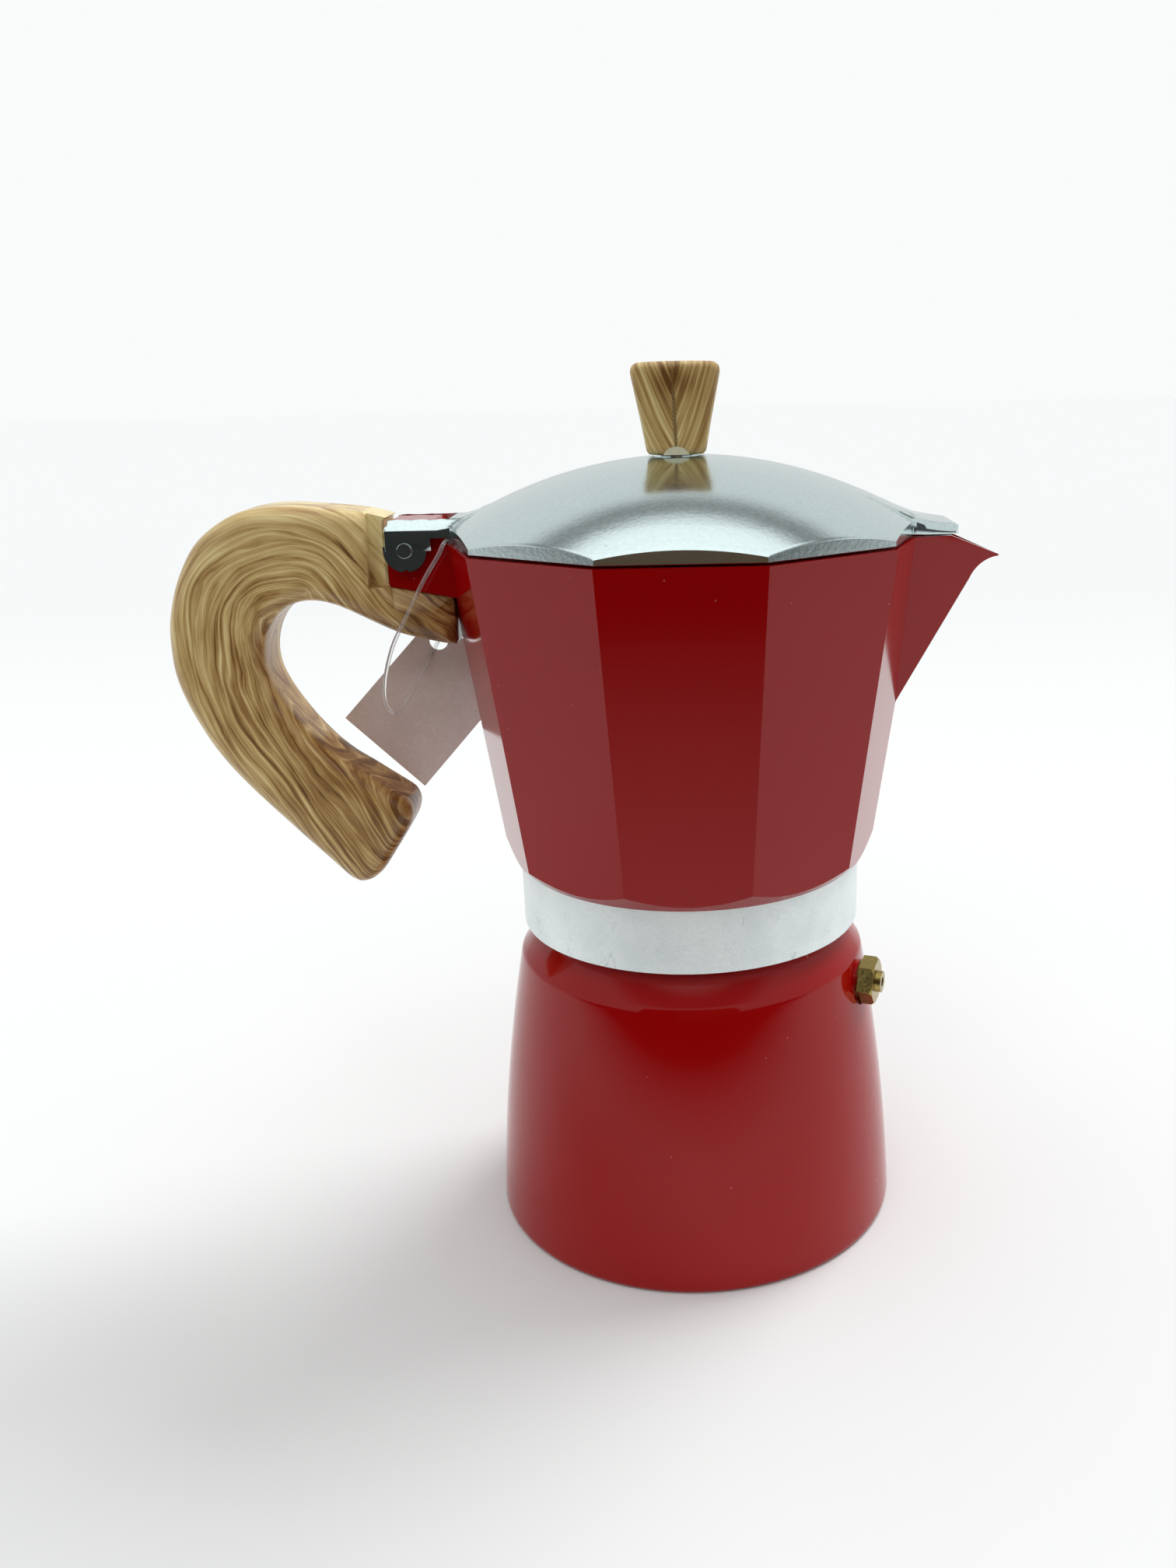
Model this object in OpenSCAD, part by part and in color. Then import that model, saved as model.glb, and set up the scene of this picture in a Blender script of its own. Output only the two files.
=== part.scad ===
// Stovetop moka pot: enamelled boiler and decagonal jug, wood-grain handle and knob.
// Origin: centre of the boiler's underside. +X is the spout, -X the handle, +Z is up.

/* [Boiler] */
// radius of the boiler at the table
base_radius = 48.2; // [40:0.1:60]
// radius of the ridge at the top of the boiler wall
shoulder_radius = 40.8; // [34:0.1:50]
// height of that ridge above the table
shoulder_height = 65; // [50:0.5:90]
// wall of the boiler and of the jug
wall = 2.6; // [1.8:0.1:4]
// outer radius of the threaded neck
neck_radius = 30; // [26:0.1:34]

/* [Jug] */
// number of flat faces round the jug
face_count = 10; // [8:2:12]
// radius of the bare band that screws on to the boiler
collar_radius = 39.6; // [36:0.1:50]
// height of the bare band
collar_height = 14.4; // [10:0.1:20]
// radius at the corners, just above the bare band
waist_radius = 42.9; // [40:0.1:56]
// radius at the corners of the rim
rim_radius = 54; // [46:0.1:70]
// height of the enamelled part of the jug
jug_height = 74.1; // [50:0.1:100]
// distance the spout stands out from the corner of the rim
spout_reach = 16.4; // [8:0.1:24]
// half of the spout's width where it leaves the jug
spout_half_width = 12.5; // [8:0.1:16]

/* [Lid] */
// radius of the dome's curve
dome_radius = 98; // [80:1:130]
// thickness of the lid
lid_wall = 1.6; // [1:0.1:3]
// gap between the closed lid and the rim
lid_gap = 0.5; // [0.4:0.1:2]
// radius of the hinge pin
pin_radius = 1.3; // [1:0.05:2]
// half of the hinge tongue's width
tongue_half_width = 8.5; // [7.5:0.1:10]

/* [Handle and knob] */
// half of the handle's width
handle_half_width = 9; // [7:0.1:12]
// height of the knob
knob_height = 19.6; // [14:0.1:26]
// radius of the screws for the handle and the knob
screw_radius = 1.9; // [1.4:0.05:2.2]

/* [Valve] */
// height of the safety valve above the table
valve_height = 60.3; // [30:0.1:62]
// size of the valve's hexagon across its flats
hex_across_flats = 9.7; // [8:0.1:12]
// radius of the valve's plunger
plunger_radius = 1.05; // [0.8:0.05:1.3]

/* [Filter] */
// depth of the coffee basket
basket_depth = 22; // [14:0.5:26]
// radius of the funnel's tube
tube_radius = 4; // [3:0.1:6]
// rings of holes in the two filters
hole_rings = 4; // [2:1:5]

/* [Fits] */
// running clearance round a pin or a plunger
run_gap = 0.05; // [0.02:0.01:0.1]
// clearance round parts that screw or drop into each other
loose_gap = 0.4; // [0.3:0.05:0.8]
// clearance round a screw in a plain hole
screw_gap = 0.2; // [0.1:0.05:0.4]

/* [Hidden] */
$fn = 96;

red = [0.55, 0.08, 0.1];
aluminium = [0.78, 0.8, 0.81];
brass = [0.72, 0.6, 0.3];
steel = [0.6, 0.62, 0.64];
wood_grain = [0.66, 0.53, 0.33];
cream = [0.86, 0.83, 0.72];
silicone = [0.9, 0.88, 0.84];
card = [0.87, 0.79, 0.76];
nylon = [0.8, 0.84, 0.86];

// heights, from the table up
foot_height = 1.4;
collar_bottom = shoulder_height + 8.7;
collar_top = collar_bottom + collar_height;
rim_height = collar_top + jug_height;
neck_top = collar_bottom + 10.3;
flange_thickness = 0.8;
gasket_thickness = 3;
plate_thickness = 0.8;
gasket_bottom = neck_top + flange_thickness;
plate_bottom = gasket_bottom + gasket_thickness;
seat_height = plate_bottom + plate_thickness;
floor_height = seat_height + 5.4;
column_top = rim_height - 22;
skirt_bottom = rim_height + lid_gap;
dome_centre = rim_height + 17.6 - dome_radius;
dome_top = dome_centre + dome_radius;

// radii
bore_radius = neck_radius + loose_gap;
neck_inner = neck_radius - 3.4;
basket_radius = neck_inner - loose_gap;
jug_inner_bottom = waist_radius * cos(180 / face_count) - wall - 0.7;
jug_inner_top = rim_radius * cos(180 / face_count) - wall;
lid_radius = rim_radius - 0.7;
column_bore = 2.6;
column_radius = 6.4;

// hinge
pin_x = -rim_radius - 6.8;
pin_z = rim_height - 1.2;
bracket_half_width = tongue_half_width - 2.9;
cheek_inner = bracket_half_width + loose_gap;
boss_radius = 9;
ear_radius = 4.75;

// handle mounting
tongue_slope = 0.193;
mount_x = -rim_radius - 11.2;
mount_z = rim_height - 9.35;
screw_x = -rim_radius - 4.4;
screw_seat = rim_height - 17.8;
knob_x = -1;
knob_bottom = dome_top + 0.2;
knob_half_depth = 5.4;
insert_radius = 3.1;

// foot of the spout's keel, just outside the jug's corner
keel_foot_x = rim_radius - jug_height * 0.082 + 0.3;
keel_foot_z = rim_height - jug_height * 0.533 + 0.55;

// valve, measured outwards from the boiler's axis
valve_turn = -20;
valve_face = base_radius - 6.5;
hex_thickness = 3.6;
flange_step = 0.5;
stub_length = 1.3;
shank_radius = 3.6;
shank_inner_end = valve_face - 8.1;
chamber_radius = 2.5;
chamber_end = valve_face + 2.2;
valve_travel = 1.5;

eps = 0.01;

function wall_radius(z) =
    let (t = z / shoulder_height)
    base_radius - (base_radius - shoulder_radius) * (0.35 * t + 0.65 * t * t);

module ring_holes(pitch, radius) {
    cylinder(r = radius, h = 4, center = true, $fn = 24);
    for (ring = [1 : hole_rings])
        for (i = [0 : 6 * ring - 1])
            rotate([0, 0, i * 60 / ring])
                translate([ring * pitch, 0, 0])
                    cylinder(r = radius, h = 4, center = true, $fn = 24);
}

module along_valve() {
    translate([0, 0, valve_height])
        rotate([0, 0, valve_turn])
            rotate([0, 90, 0])
                children();
}

module across(x, z, half) {
    translate([x, 0, z])
        rotate([90, 0, 0])
            translate([0, 0, -half])
                children();
}

module side_plate(points, half) {
    rotate([90, 0, 0])
        translate([0, 0, -half])
            linear_extrude(height = 2 * half)
                polygon(points);
}

module boiler() {
    rows = [for (i = [0 : 8]) foot_height + (shoulder_height - foot_height) * i / 8];
    outside = [for (z = rows) [wall_radius(z), z]];
    inside = [for (i = [8 : -1 : 0])
        [wall_radius(rows[i]) - wall, max(rows[i] - 1, foot_height + wall)]];
    color(red)
    difference() {
        union() {
            rotate_extrude()
                polygon(concat(
                    [[0, 0], [base_radius - 1.3, 0], [base_radius - 0.3, 0.4]],
                    outside,
                    [[shoulder_radius - 0.4, shoulder_height + 0.8],
                     [shoulder_radius - 5.2, shoulder_height + 6.4],
                     [neck_radius, shoulder_height + 6.9],
                     [neck_radius, neck_top - 0.6],
                     [neck_radius - 0.6, neck_top],
                     [neck_inner, neck_top],
                     [neck_inner, shoulder_height + 5]],
                    inside,
                    [[0, foot_height + wall]]));
            along_valve()
                translate([0, 0, valve_face - 5])
                    cylinder(r = 4.6, h = 5);
        }
        along_valve()
            translate([0, 0, valve_face])
                cylinder(r = hex_across_flats / 2 / cos(30) + 0.3, h = 10);
        along_valve()
            translate([0, 0, valve_face - 12])
                cylinder(r = shank_radius + run_gap, h = 20);
    }
}

module valve_body() {
    corner = hex_across_flats / 2 / cos(30);
    color(brass)
    along_valve()
    difference() {
        union() {
            translate([0, 0, valve_face])
                cylinder(r = hex_across_flats / 2 - 0.3, h = flange_step + 0.2);
            translate([0, 0, valve_face + flange_step])
                intersection() {
                    rotate([0, 0, -22])
                        cylinder(r = corner, h = hex_thickness, $fn = 6);
                    cylinder(r1 = corner + 2.4, r2 = corner - 0.55, h = hex_thickness);
                }
            translate([0, 0, shank_inner_end])
                cylinder(r = shank_radius, h = valve_face - shank_inner_end + 1);
            translate([0, 0, valve_face + flange_step + hex_thickness - 0.5])
                cylinder(r = 2.5, h = stub_length + 0.5);
        }
        translate([0, 0, shank_inner_end - 1])
            cylinder(r = chamber_radius, h = chamber_end - shank_inner_end + 1);
        cylinder(r = plunger_radius + run_gap, h = valve_face + 20);
    }
}

module valve_seat() {
    color(brass)
    along_valve()
        translate([0, 0, shank_inner_end])
            difference() {
                cylinder(r = chamber_radius, h = 1.2);
                translate([0, 0, -1])
                    cylinder(r = 1.2, h = 4);
            }
}

module valve_plunger() {
    color(steel)
    along_valve()
        translate([0, 0, shank_inner_end + 1.2]) {
            cylinder(r = chamber_radius - 0.3, h = 1.5);
            cylinder(r = plunger_radius, h = valve_face - shank_inner_end + 3.6);
        }
}

module valve_spring() {
    start = shank_inner_end + 2.7 + valve_travel + 0.1;
    length = chamber_end - start;
    wire = 0.3;
    coil = (plunger_radius + chamber_radius) / 2;
    turns = 4;
    steps = 14;
    sides = 6;
    last = turns * steps;
    rings = [for (i = [0 : last])
        let (a = 360 * i / steps, z = start + wire + (length - 2 * wire) * i / last)
        [for (j = [0 : sides - 1])
            let (b = 360 * j / sides, r = coil + wire * cos(b))
            [r * cos(a), r * sin(a), z + wire * sin(b)]]];
    points = [for (ring = rings) for (p = ring) p];
    walls = [for (i = [0 : last - 1]) for (j = [0 : sides - 1])
        let (k = (j + 1) % sides)
        [i * sides + j, (i + 1) * sides + j, (i + 1) * sides + k, i * sides + k]];
    ends = [[for (j = [0 : sides - 1]) j],
            [for (j = [sides - 1 : -1 : 0]) last * sides + j]];
    color(steel)
    along_valve()
        polyhedron(points = points, faces = concat(walls, ends));
}

module funnel() {
    tube_end = foot_height + wall + 3;
    basket_floor = neck_top - basket_depth;
    cone_end = basket_floor - 9;
    color(aluminium)
    rotate_extrude()
        polygon([[neck_radius - 0.4, neck_top],
                 [neck_radius - 0.4, neck_top + flange_thickness],
                 [basket_radius - 0.9, neck_top + flange_thickness],
                 [basket_radius - 0.9, basket_floor],
                 [basket_radius - 1.9, basket_floor],
                 [basket_radius - 1.9, basket_floor - 1.6],
                 [tube_radius - 0.8, cone_end - 0.6],
                 [tube_radius - 0.8, tube_end],
                 [tube_radius, tube_end],
                 [tube_radius, cone_end - 1],
                 [basket_radius - 0.9, basket_floor - 2.4],
                 [basket_radius, basket_floor - 1.4],
                 [basket_radius, neck_top]]);
}

module funnel_screen() {
    basket_floor = neck_top - basket_depth;
    radius = basket_radius - 1;
    color(aluminium)
    translate([0, 0, basket_floor])
        difference() {
            cylinder(r = radius, h = 0.8);
            ring_holes(radius / (hole_rings + 0.8), 0.7);
        }
}

module gasket() {
    color(silicone)
    translate([0, 0, gasket_bottom])
        difference() {
            cylinder(r = neck_radius, h = gasket_thickness);
            translate([0, 0, -1])
                cylinder(r = neck_radius - 7, h = gasket_thickness + 2);
        }
}

module filter_plate() {
    radius = neck_radius - 0.6;
    color(aluminium)
    translate([0, 0, plate_bottom])
        difference() {
            cylinder(r = radius, h = plate_thickness);
            ring_holes((radius - 8) / (hole_rings + 0.4), 0.7);
        }
}

module jug_shell() {
    // flat-faced cone, cut away below by a round cone that meets the bare band
    intersection() {
        translate([0, 0, collar_top])
            cylinder(r1 = waist_radius, r2 = rim_radius, h = jug_height, $fn = face_count);
        translate([0, 0, collar_top])
            cylinder(r1 = collar_radius, r2 = collar_radius + jug_height, h = jug_height);
    }
    translate([0, 0, collar_bottom])
        cylinder(r = collar_radius, h = collar_height + 0.5);
}

module spout_outside() {
    foot = jug_height * 0.467;
    hull()
        polyhedron(
            points = [
                [rim_radius - 4.1, -spout_half_width, rim_height],
                [rim_radius - 4.1, spout_half_width, rim_height],
                [rim_radius - 9, -spout_half_width, rim_height],
                [rim_radius - 9, spout_half_width, rim_height],
                [rim_radius + 4.5, -spout_half_width * 0.6, rim_height - 0.4],
                [rim_radius + 4.5, spout_half_width * 0.6, rim_height - 0.4],
                [rim_radius + spout_reach, -0.5, rim_height - 5.6],
                [rim_radius + spout_reach, 0.5, rim_height - 5.6],
                [rim_radius + spout_reach - 5.6, 0, rim_height - 8.4],
                [rim_radius - jug_height * 0.082, 0, rim_height - jug_height + foot],
                [rim_radius - 12, 0, rim_height - jug_height + foot]],
            faces = [[0, 1, 2], [3, 4, 5], [6, 7, 8], [9, 10, 0]]);
}

module spout_channel() {
    hull()
        polyhedron(
            points = [
                [rim_radius - 13, -spout_half_width + 1.8, rim_height + 1],
                [rim_radius - 13, spout_half_width - 1.8, rim_height + 1],
                [rim_radius - 4, -spout_half_width + 1.8, rim_height + 1],
                [rim_radius - 4, spout_half_width - 1.8, rim_height + 1],
                [rim_radius + 4.2, -spout_half_width * 0.6 + 1.6, rim_height + 1],
                [rim_radius + 4.2, spout_half_width * 0.6 - 1.6, rim_height + 1],
                [rim_radius + spout_reach - 1.2, 0, rim_height + 1],
                [rim_radius + spout_reach - 2.2, 0, rim_height - 5],
                [rim_radius + spout_reach - 6.6, 0, rim_height - 7],
                [rim_radius - 5.2, 0, rim_height - 35],
                [rim_radius - 13, 0, rim_height - 35]],
            faces = [[0, 1, 2], [3, 4, 5], [6, 7, 8], [9, 10, 0]]);
}

module bracket() {
    arc = [for (i = [0 : 6])
        let (a = 44.5 - 35 * i / 6)
        [pin_x + boss_radius * cos(a), pin_z + boss_radius * sin(a)]];
    side_plate(concat(
        [[mount_x, mount_z],
         [mount_x, rim_height + 3.3],
         [mount_x + 1.3, rim_height + 5.1]],
        arc,
        [[-rim_radius + 2.3, rim_height - 1],
         [-rim_radius + 6, rim_height - 1],
         [-rim_radius + 6, mount_z - tongue_slope * 17.2]]),
        bracket_half_width);
}

module collector() {
    color(red)
    difference() {
        union() {
            jug_shell();
            intersection() {
                spout_outside();
                translate([0, 0, collar_top])
                    cylinder(r = rim_radius + spout_reach + 5, h = jug_height);
            }
            bracket();
        }
        // inside of the jug, round
        difference() {
            translate([0, 0, floor_height])
                cylinder(r1 = jug_inner_bottom, r2 = jug_inner_top,
                         h = rim_height - floor_height + eps);
            rotate_extrude()
                polygon([[0, floor_height - 1], [15, floor_height - 1],
                         [10, floor_height + 3], [column_radius + 1.6, floor_height + 8],
                         [column_radius, column_top], [0, column_top]]);
        }
        spout_mouth();
        // way up for the coffee
        rotate_extrude()
            polygon([[0, seat_height - eps], [bore_radius - 6, seat_height - eps],
                     [bore_radius - 9, seat_height + 1.6],
                     [column_bore + 1.5, floor_height - 1.2],
                     [column_bore, floor_height + 1],
                     [column_bore, column_top + 1], [0, column_top + 1]]);
        // bore that screws on to the boiler's neck
        translate([0, 0, collar_bottom - 1])
            cylinder(r = bore_radius, h = seat_height - collar_bottom + 1);
        translate([0, 0, collar_bottom - eps])
            cylinder(r1 = bore_radius + 1, r2 = bore_radius, h = 1);
        // straight keel, and the hollow under the beak's tip
        side_plate([[keel_foot_x, keel_foot_z],
                    [rim_radius + spout_reach - 5.76, rim_height - 8.79],
                    [rim_radius + spout_reach, rim_height - 13.1],
                    [rim_radius + spout_reach + 20, rim_height - 13.1],
                    [rim_radius + spout_reach + 20, keel_foot_z]], 20);
        across(rim_radius + spout_reach, rim_height - 13.1, 8)
            cylinder(r = 7.18, h = 16);
        across(pin_x, pin_z, 12)
            cylinder(r = pin_radius, h = 24);
        translate([screw_x, 0, screw_seat - 0.6])
            cylinder(r = screw_radius, h = 15.8);
    }
}

module spout_mouth() {
    difference() {
        spout_channel();
        translate([0, 0, rim_height - 60])
            cylinder(r = column_radius + 3, h = 80);
    }
}

module column_cap() {
    inner = column_bore + 1;
    color(aluminium)
    translate([0, 0, column_top])
        difference() {
            rotate_extrude()
                polygon([[inner, 0], [column_radius, 0], [column_radius, 3.4],
                         [column_radius - 1.2, 5.4], [2.6, 6.6], [0, 6.6],
                         [0, 5.2], [inner, 4.4]]);
            for (a = [0, 90])
                rotate([0, 0, a])
                    translate([0, 0, 2.5])
                        rotate([90, 0, 0])
                            cylinder(r = 1.2, h = 30, center = true);
        }
}

module lid_dome(radius, corner) {
    intersection() {
        translate([0, 0, dome_centre])
            sphere(r = radius, $fn = 160);
        translate([0, 0, rim_height - 5])
            linear_extrude(height = 60)
                circle(r = corner, $fn = face_count);
    }
}

module lid_tab() {
    x0 = rim_radius - 12;
    x1 = rim_radius - 4.4;
    x2 = rim_radius + 6.2;
    half0 = spout_half_width - 0.6;
    half1 = spout_half_width * 0.6 + 0.4;
    low = skirt_bottom;
    difference() {
        intersection() {
            translate([0, 0, low - 1])
                linear_extrude(height = 12)
                    polygon([[x0, -half0], [x1, -half0], [x2 - 1, -half1], [x2, -half1 + 1.2],
                             [x2, half1 - 1.2], [x2 - 1, half1], [x1, half0], [x0, half0]]);
            side_plate([[x0, low], [x1, low], [x2 - 1, low - 0.5], [x2 + 1, low - 0.5],
                        [x2 + 1, low + 1], [x2 - 0.8, low + 1.9], [x1, low + 3],
                        [x0, low + 6.2]], 30);
        }
        // shallow hollow over the spout
        translate([x0 - 1, -half1 + 1.6, low - 2])
            cube([x2 - x0 - 0.6, 2 * half1 - 3.2, 2.4]);
    }
}

module lid_tongue() {
    top = rim_height + 5.3;
    side_top = rim_height + 3.1;
    back = pin_x - 4.6;
    front = -rim_radius + 8;
    under = rim_height + 1.1;
    difference() {
        intersection() {
            side_plate([[back, pin_z - 0.1], [back, side_top], [back + 1.1, top],
                        [front, top], [front, under], [-rim_radius + 3, under],
                        [-rim_radius + 2.2, under], [pin_x + 8, pin_z - 0.1]],
                       tongue_half_width);
            rotate([90, 0, 90])
                translate([0, 0, -rim_radius - 20])
                    linear_extrude(height = 40)
                        polygon([[-tongue_half_width, pin_z - 6], [tongue_half_width, pin_z - 6],
                                 [tongue_half_width, side_top], [cheek_inner + 0.5, top],
                                 [-cheek_inner - 0.5, top], [-tongue_half_width, side_top]]);
        }
        // slot that lets the bracket through
        side_plate([[back - 5, pin_z - 8], [pin_x + boss_radius + 0.35, pin_z - 8],
                    [pin_x + boss_radius + 0.35, top - 1.6],
                    [pin_x + boss_radius + 1.2, top + 1], [back - 5, top + 1]],
                   cheek_inner);
    }
    for (s = [-1, 1])
        translate([0, s * (tongue_half_width + cheek_inner) / 2, 0])
            across(pin_x, pin_z, (tongue_half_width - cheek_inner) / 2)
                intersection() {
                    cylinder(r = ear_radius, h = tongue_half_width - cheek_inner);
                    translate([-10, -10, -1])
                        cube([20, 10.4, 10]);
                }
}

module lid() {
    color(aluminium)
    difference() {
        union() {
            difference() {
                lid_dome(dome_radius, lid_radius);
                lid_dome(dome_radius - lid_wall, lid_radius - 1.9);
                translate([0, 0, skirt_bottom - 20])
                    cylinder(r = rim_radius + 20, h = 20);
                // room for the hinge bracket
                translate([-rim_radius - 4, -cheek_inner, skirt_bottom - 5])
                    cube([pin_x + boss_radius + 0.35 + rim_radius + 4, 2 * cheek_inner, 30]);
            }
            difference() {
                union() {
                    lid_tab();
                    lid_tongue();
                }
                translate([0, 0, dome_centre])
                    sphere(r = dome_radius - lid_wall, $fn = 160);
            }
            translate([knob_x, 0, dome_top - 3])
                cylinder(r = 5, h = 3.2);
        }
        translate([knob_x, 0, dome_top - 8])
            cylinder(r = screw_radius + screw_gap, h = 16);
        across(pin_x, pin_z, 12)
            cylinder(r = pin_radius + run_gap, h = 24);
        // room for the tag's loop
        translate([-rim_radius - 1, -12.2, skirt_bottom - 2])
            cube([7, 24.4, rim_height + 1.4 - skirt_bottom + 2]);
    }
}

module hinge_pin() {
    length = 2 * tongue_half_width + 0.2;
    color(aluminium)
    across(pin_x, pin_z, length / 2) {
        cylinder(r = pin_radius, h = length);
        translate([0, 0, -0.4])
            cylinder(r = pin_radius + 0.35, h = 0.4);
        translate([0, 0, length])
            cylinder(r = pin_radius + 0.35, h = 0.4);
    }
}

module knob() {
    top = knob_bottom + knob_height;
    color(wood_grain)
    difference() {
        side_plate([[knob_x - 6.2, knob_bottom + 1.2], [knob_x - 5.4, knob_bottom],
                    [knob_x + 5.4, knob_bottom], [knob_x + 6.2, knob_bottom + 1.2],
                    [knob_x + 9.6, top - 2], [knob_x + 9.1, top - 0.6], [knob_x + 7.6, top],
                    [knob_x - 7.6, top], [knob_x - 9.1, top - 0.6], [knob_x - 9.6, top - 2]],
                   knob_half_depth);
        insert_block(insert_radius, knob_half_depth + 1);
        translate([knob_x, 0, knob_bottom - 1])
            cylinder(r = screw_radius, h = 11);
    }
}

module insert_block(radius, half) {
    intersection() {
        across(knob_x, knob_bottom - 1.2, half)
            cylinder(r = radius, h = 2 * half);
        translate([knob_x - 10, -20, knob_bottom])
            cube([20, 40, 10]);
    }
}

module knob_insert() {
    color(cream)
    difference() {
        insert_block(insert_radius, knob_half_depth);
        translate([knob_x, 0, knob_bottom - 1])
            cylinder(r = screw_radius + screw_gap, h = 6);
    }
}

module knob_screw() {
    under = dome_top - 3;
    color(steel)
    translate([knob_x, 0, under]) {
        cylinder(r = screw_radius, h = knob_bottom - under + 9);
        difference() {
            translate([0, 0, -2.2])
                cylinder(r = 3.6, h = 2.2);
            translate([-5, -0.5, -3])
                cube([10, 1, 1.6]);
        }
    }
}

// outline of the handle: distance out from the rim's corner, height above the rim
outline_outer = [[-11.6, 6.2], [-16.7, 7.2], [-21.3, 7.8], [-27, 8.3], [-32.7, 8.7],
    [-37.3, 8.6], [-42, 7.9], [-46.2, 6.3], [-50.6, 3.5], [-53.9, 0.4], [-56.7, -3.9],
    [-59.1, -9.1], [-60.8, -14.9], [-61.5, -21], [-61.2, -26.5], [-60.3, -31.5],
    [-57.8, -38.1], [-54.2, -45.6], [-50.2, -51.1], [-45.3, -56.9], [-39.8, -62.8],
    [-34.2, -68.7], [-29.7, -73.3], [-26.3, -77], [-24.3, -78.3], [-22.4, -78.7],
    [-20.2, -78.1], [-17.6, -75.8], [-14.8, -71.6], [-11.9, -67.1], [-10.3, -64],
    [-10, -61.4], [-11, -59.1], [-13.1, -57.5]];
outline_inner = [[-16.5, -55.2], [-20.5, -52.3], [-24.6, -49.9], [-28.5, -46.5],
    [-32.3, -42.1], [-35.5, -37.7], [-38.1, -33.4], [-39.8, -29.4], [-40.4, -26.1],
    [-40.2, -22.5], [-39.3, -19.5], [-37.9, -16.5], [-35.9, -14.5], [-33.1, -12.8],
    [-30.1, -12.1], [-26.6, -12.3], [-23.1, -13.3], [-19.2, -15.1], [-14.7, -17.6],
    [-10.7, -19.5], [-7, -20.7], [-1.5, -22]];

module handle() {
    gap = 0.3;
    end_x = -rim_radius + 3.1;
    outline = [for (p = concat(outline_outer, outline_inner))
        [p[0] - rim_radius, p[1] + rim_height]];
    rest = [[end_x, rim_height - 23.2],
            [end_x, mount_z - 0.02 - tongue_slope * (end_x - mount_x)],
            [mount_x, mount_z - 0.02], [mount_x - gap, mount_z + 0.2], [mount_x - gap, rim_height + 6.1]];
    color(wood_grain)
    difference() {
        side_plate(concat(outline, rest), handle_half_width);
        // room at the sides for the lid's tongue to swing down
        for (s = [-1, 1])
            translate([mount_x - 4, s > 0 ? bracket_half_width : -handle_half_width - 1,
                       mount_z + 0.05])
                cube([10, handle_half_width - bracket_half_width + 1, 30]);
        // the jug's corner
        translate([0, 0, collar_top])
            cylinder(r1 = waist_radius + 0.4, r2 = rim_radius + 0.4, h = jug_height,
                     $fn = face_count);
        translate([screw_x, 0, rim_height - 40])
            cylinder(r = screw_radius + screw_gap, h = 40);
        translate([screw_x, 0, rim_height - 40])
            cylinder(r = 4.2, h = screw_seat - rim_height + 40);
    }
}

module handle_washer() {
    color(steel)
    translate([screw_x, 0, screw_seat - 0.6])
        difference() {
            cylinder(r = 4, h = 0.6);
            translate([0, 0, -1])
                cylinder(r = screw_radius + screw_gap, h = 3);
        }
}

module handle_screw() {
    color(steel)
    translate([screw_x, 0, screw_seat - 0.6]) {
        cylinder(r = screw_radius, h = 15.4);
        difference() {
            translate([0, 0, -2])
                cylinder(r = 3.6, h = 2);
            translate([-5, -0.5, -3])
                cube([10, 1, 2]);
        }
    }
}

module tag() {
    y0 = handle_half_width + 2;
    x = -rim_radius;
    z = rim_height;
    thick = 0.5;
    color(card)
    difference() {
        intersection() {
            side_plate([[x - 28.2, z - 43.4], [x - 4.9, z - 18.6], [x + 5.2, z - 28.4],
                        [x + 7.5, z - 36], [x + 5.2, z - 43.6], [x - 10.2, z - 60.8]], 60);
            linear_extrude(height = rim_height)
                polygon([[x - 40, y0], [x + 5.2, y0], [x + 8.6, y0 + 11],
                         [x + 8.1, y0 + 11.2], [x + 4.8, y0 + thick], [x - 40, y0 + thick]]);
        }
        across(x - 4.4, z - 25, 30)
            cylinder(r = 2.2, h = 60);
    }
}

// the loop goes round the bracket and through the tag's hole
loop_path = [[3.2, -5, 0.65], [2.3, -9.5, 0.6], [0.7, -10.8, -2.4], [-2.9, -10.7, -7.9],
    [-7.6, -10.6, -16.4], [-10.6, -10.5, -22], [-12.8, -10.2, -29], [-13.6, -8.6, -35],
    [-12.9, -4, -38.6], [-11.6, 2, -38.4], [-9.6, 7.4, -34.6], [-6.6, 10.2, -29],
    [-4.8, 11, -25.6], [-4.4, 11.9, -24.6], [-4.1, 12.6, -22.6], [-3.6, 11.6, -17.5],
    [-2.6, 10.9, -10], [-0.6, 10.8, -4.6], [1.3, 10.7, -1.2], [2.3, 9.5, 0.6], [3.2, 5, 0.65]];

module tag_loop() {
    wire = 0.45;
    sides = 8;
    count = len(loop_path);
    p = [for (q = loop_path) [q[0] - rim_radius, q[1], q[2] + rim_height]];
    rings = [for (i = [0 : count - 1])
        let (d = p[(i + 1) % count] - p[(i + count - 1) % count],
             t = d / norm(d),
             u0 = cross(t, [1, 0, 0]),
             u = u0 / norm(u0),
             v = cross(t, u))
        [for (j = [0 : sides - 1])
            p[i] + wire * (cos(360 * j / sides) * u + sin(360 * j / sides) * v)]];
    color(nylon)
    polyhedron(
        points = [for (ring = rings) for (q = ring) q],
        faces = [for (i = [0 : count - 1]) for (j = [0 : sides - 1])
            let (k = (j + 1) % sides, n = (i + 1) % count)
            [i * sides + j, i * sides + k, n * sides + k, n * sides + j]]);
}

boiler();
valve_body();
valve_seat();
valve_plunger();
valve_spring();
funnel();
funnel_screen();
gasket();
filter_plate();
collector();
column_cap();
lid();
hinge_pin();
knob();
knob_insert();
knob_screw();
handle();
handle_washer();
handle_screw();
tag();
tag_loop();
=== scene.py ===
import math

import bmesh
import bpy
import numpy as np
from mathutils import Matrix, Vector, geometry


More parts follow.
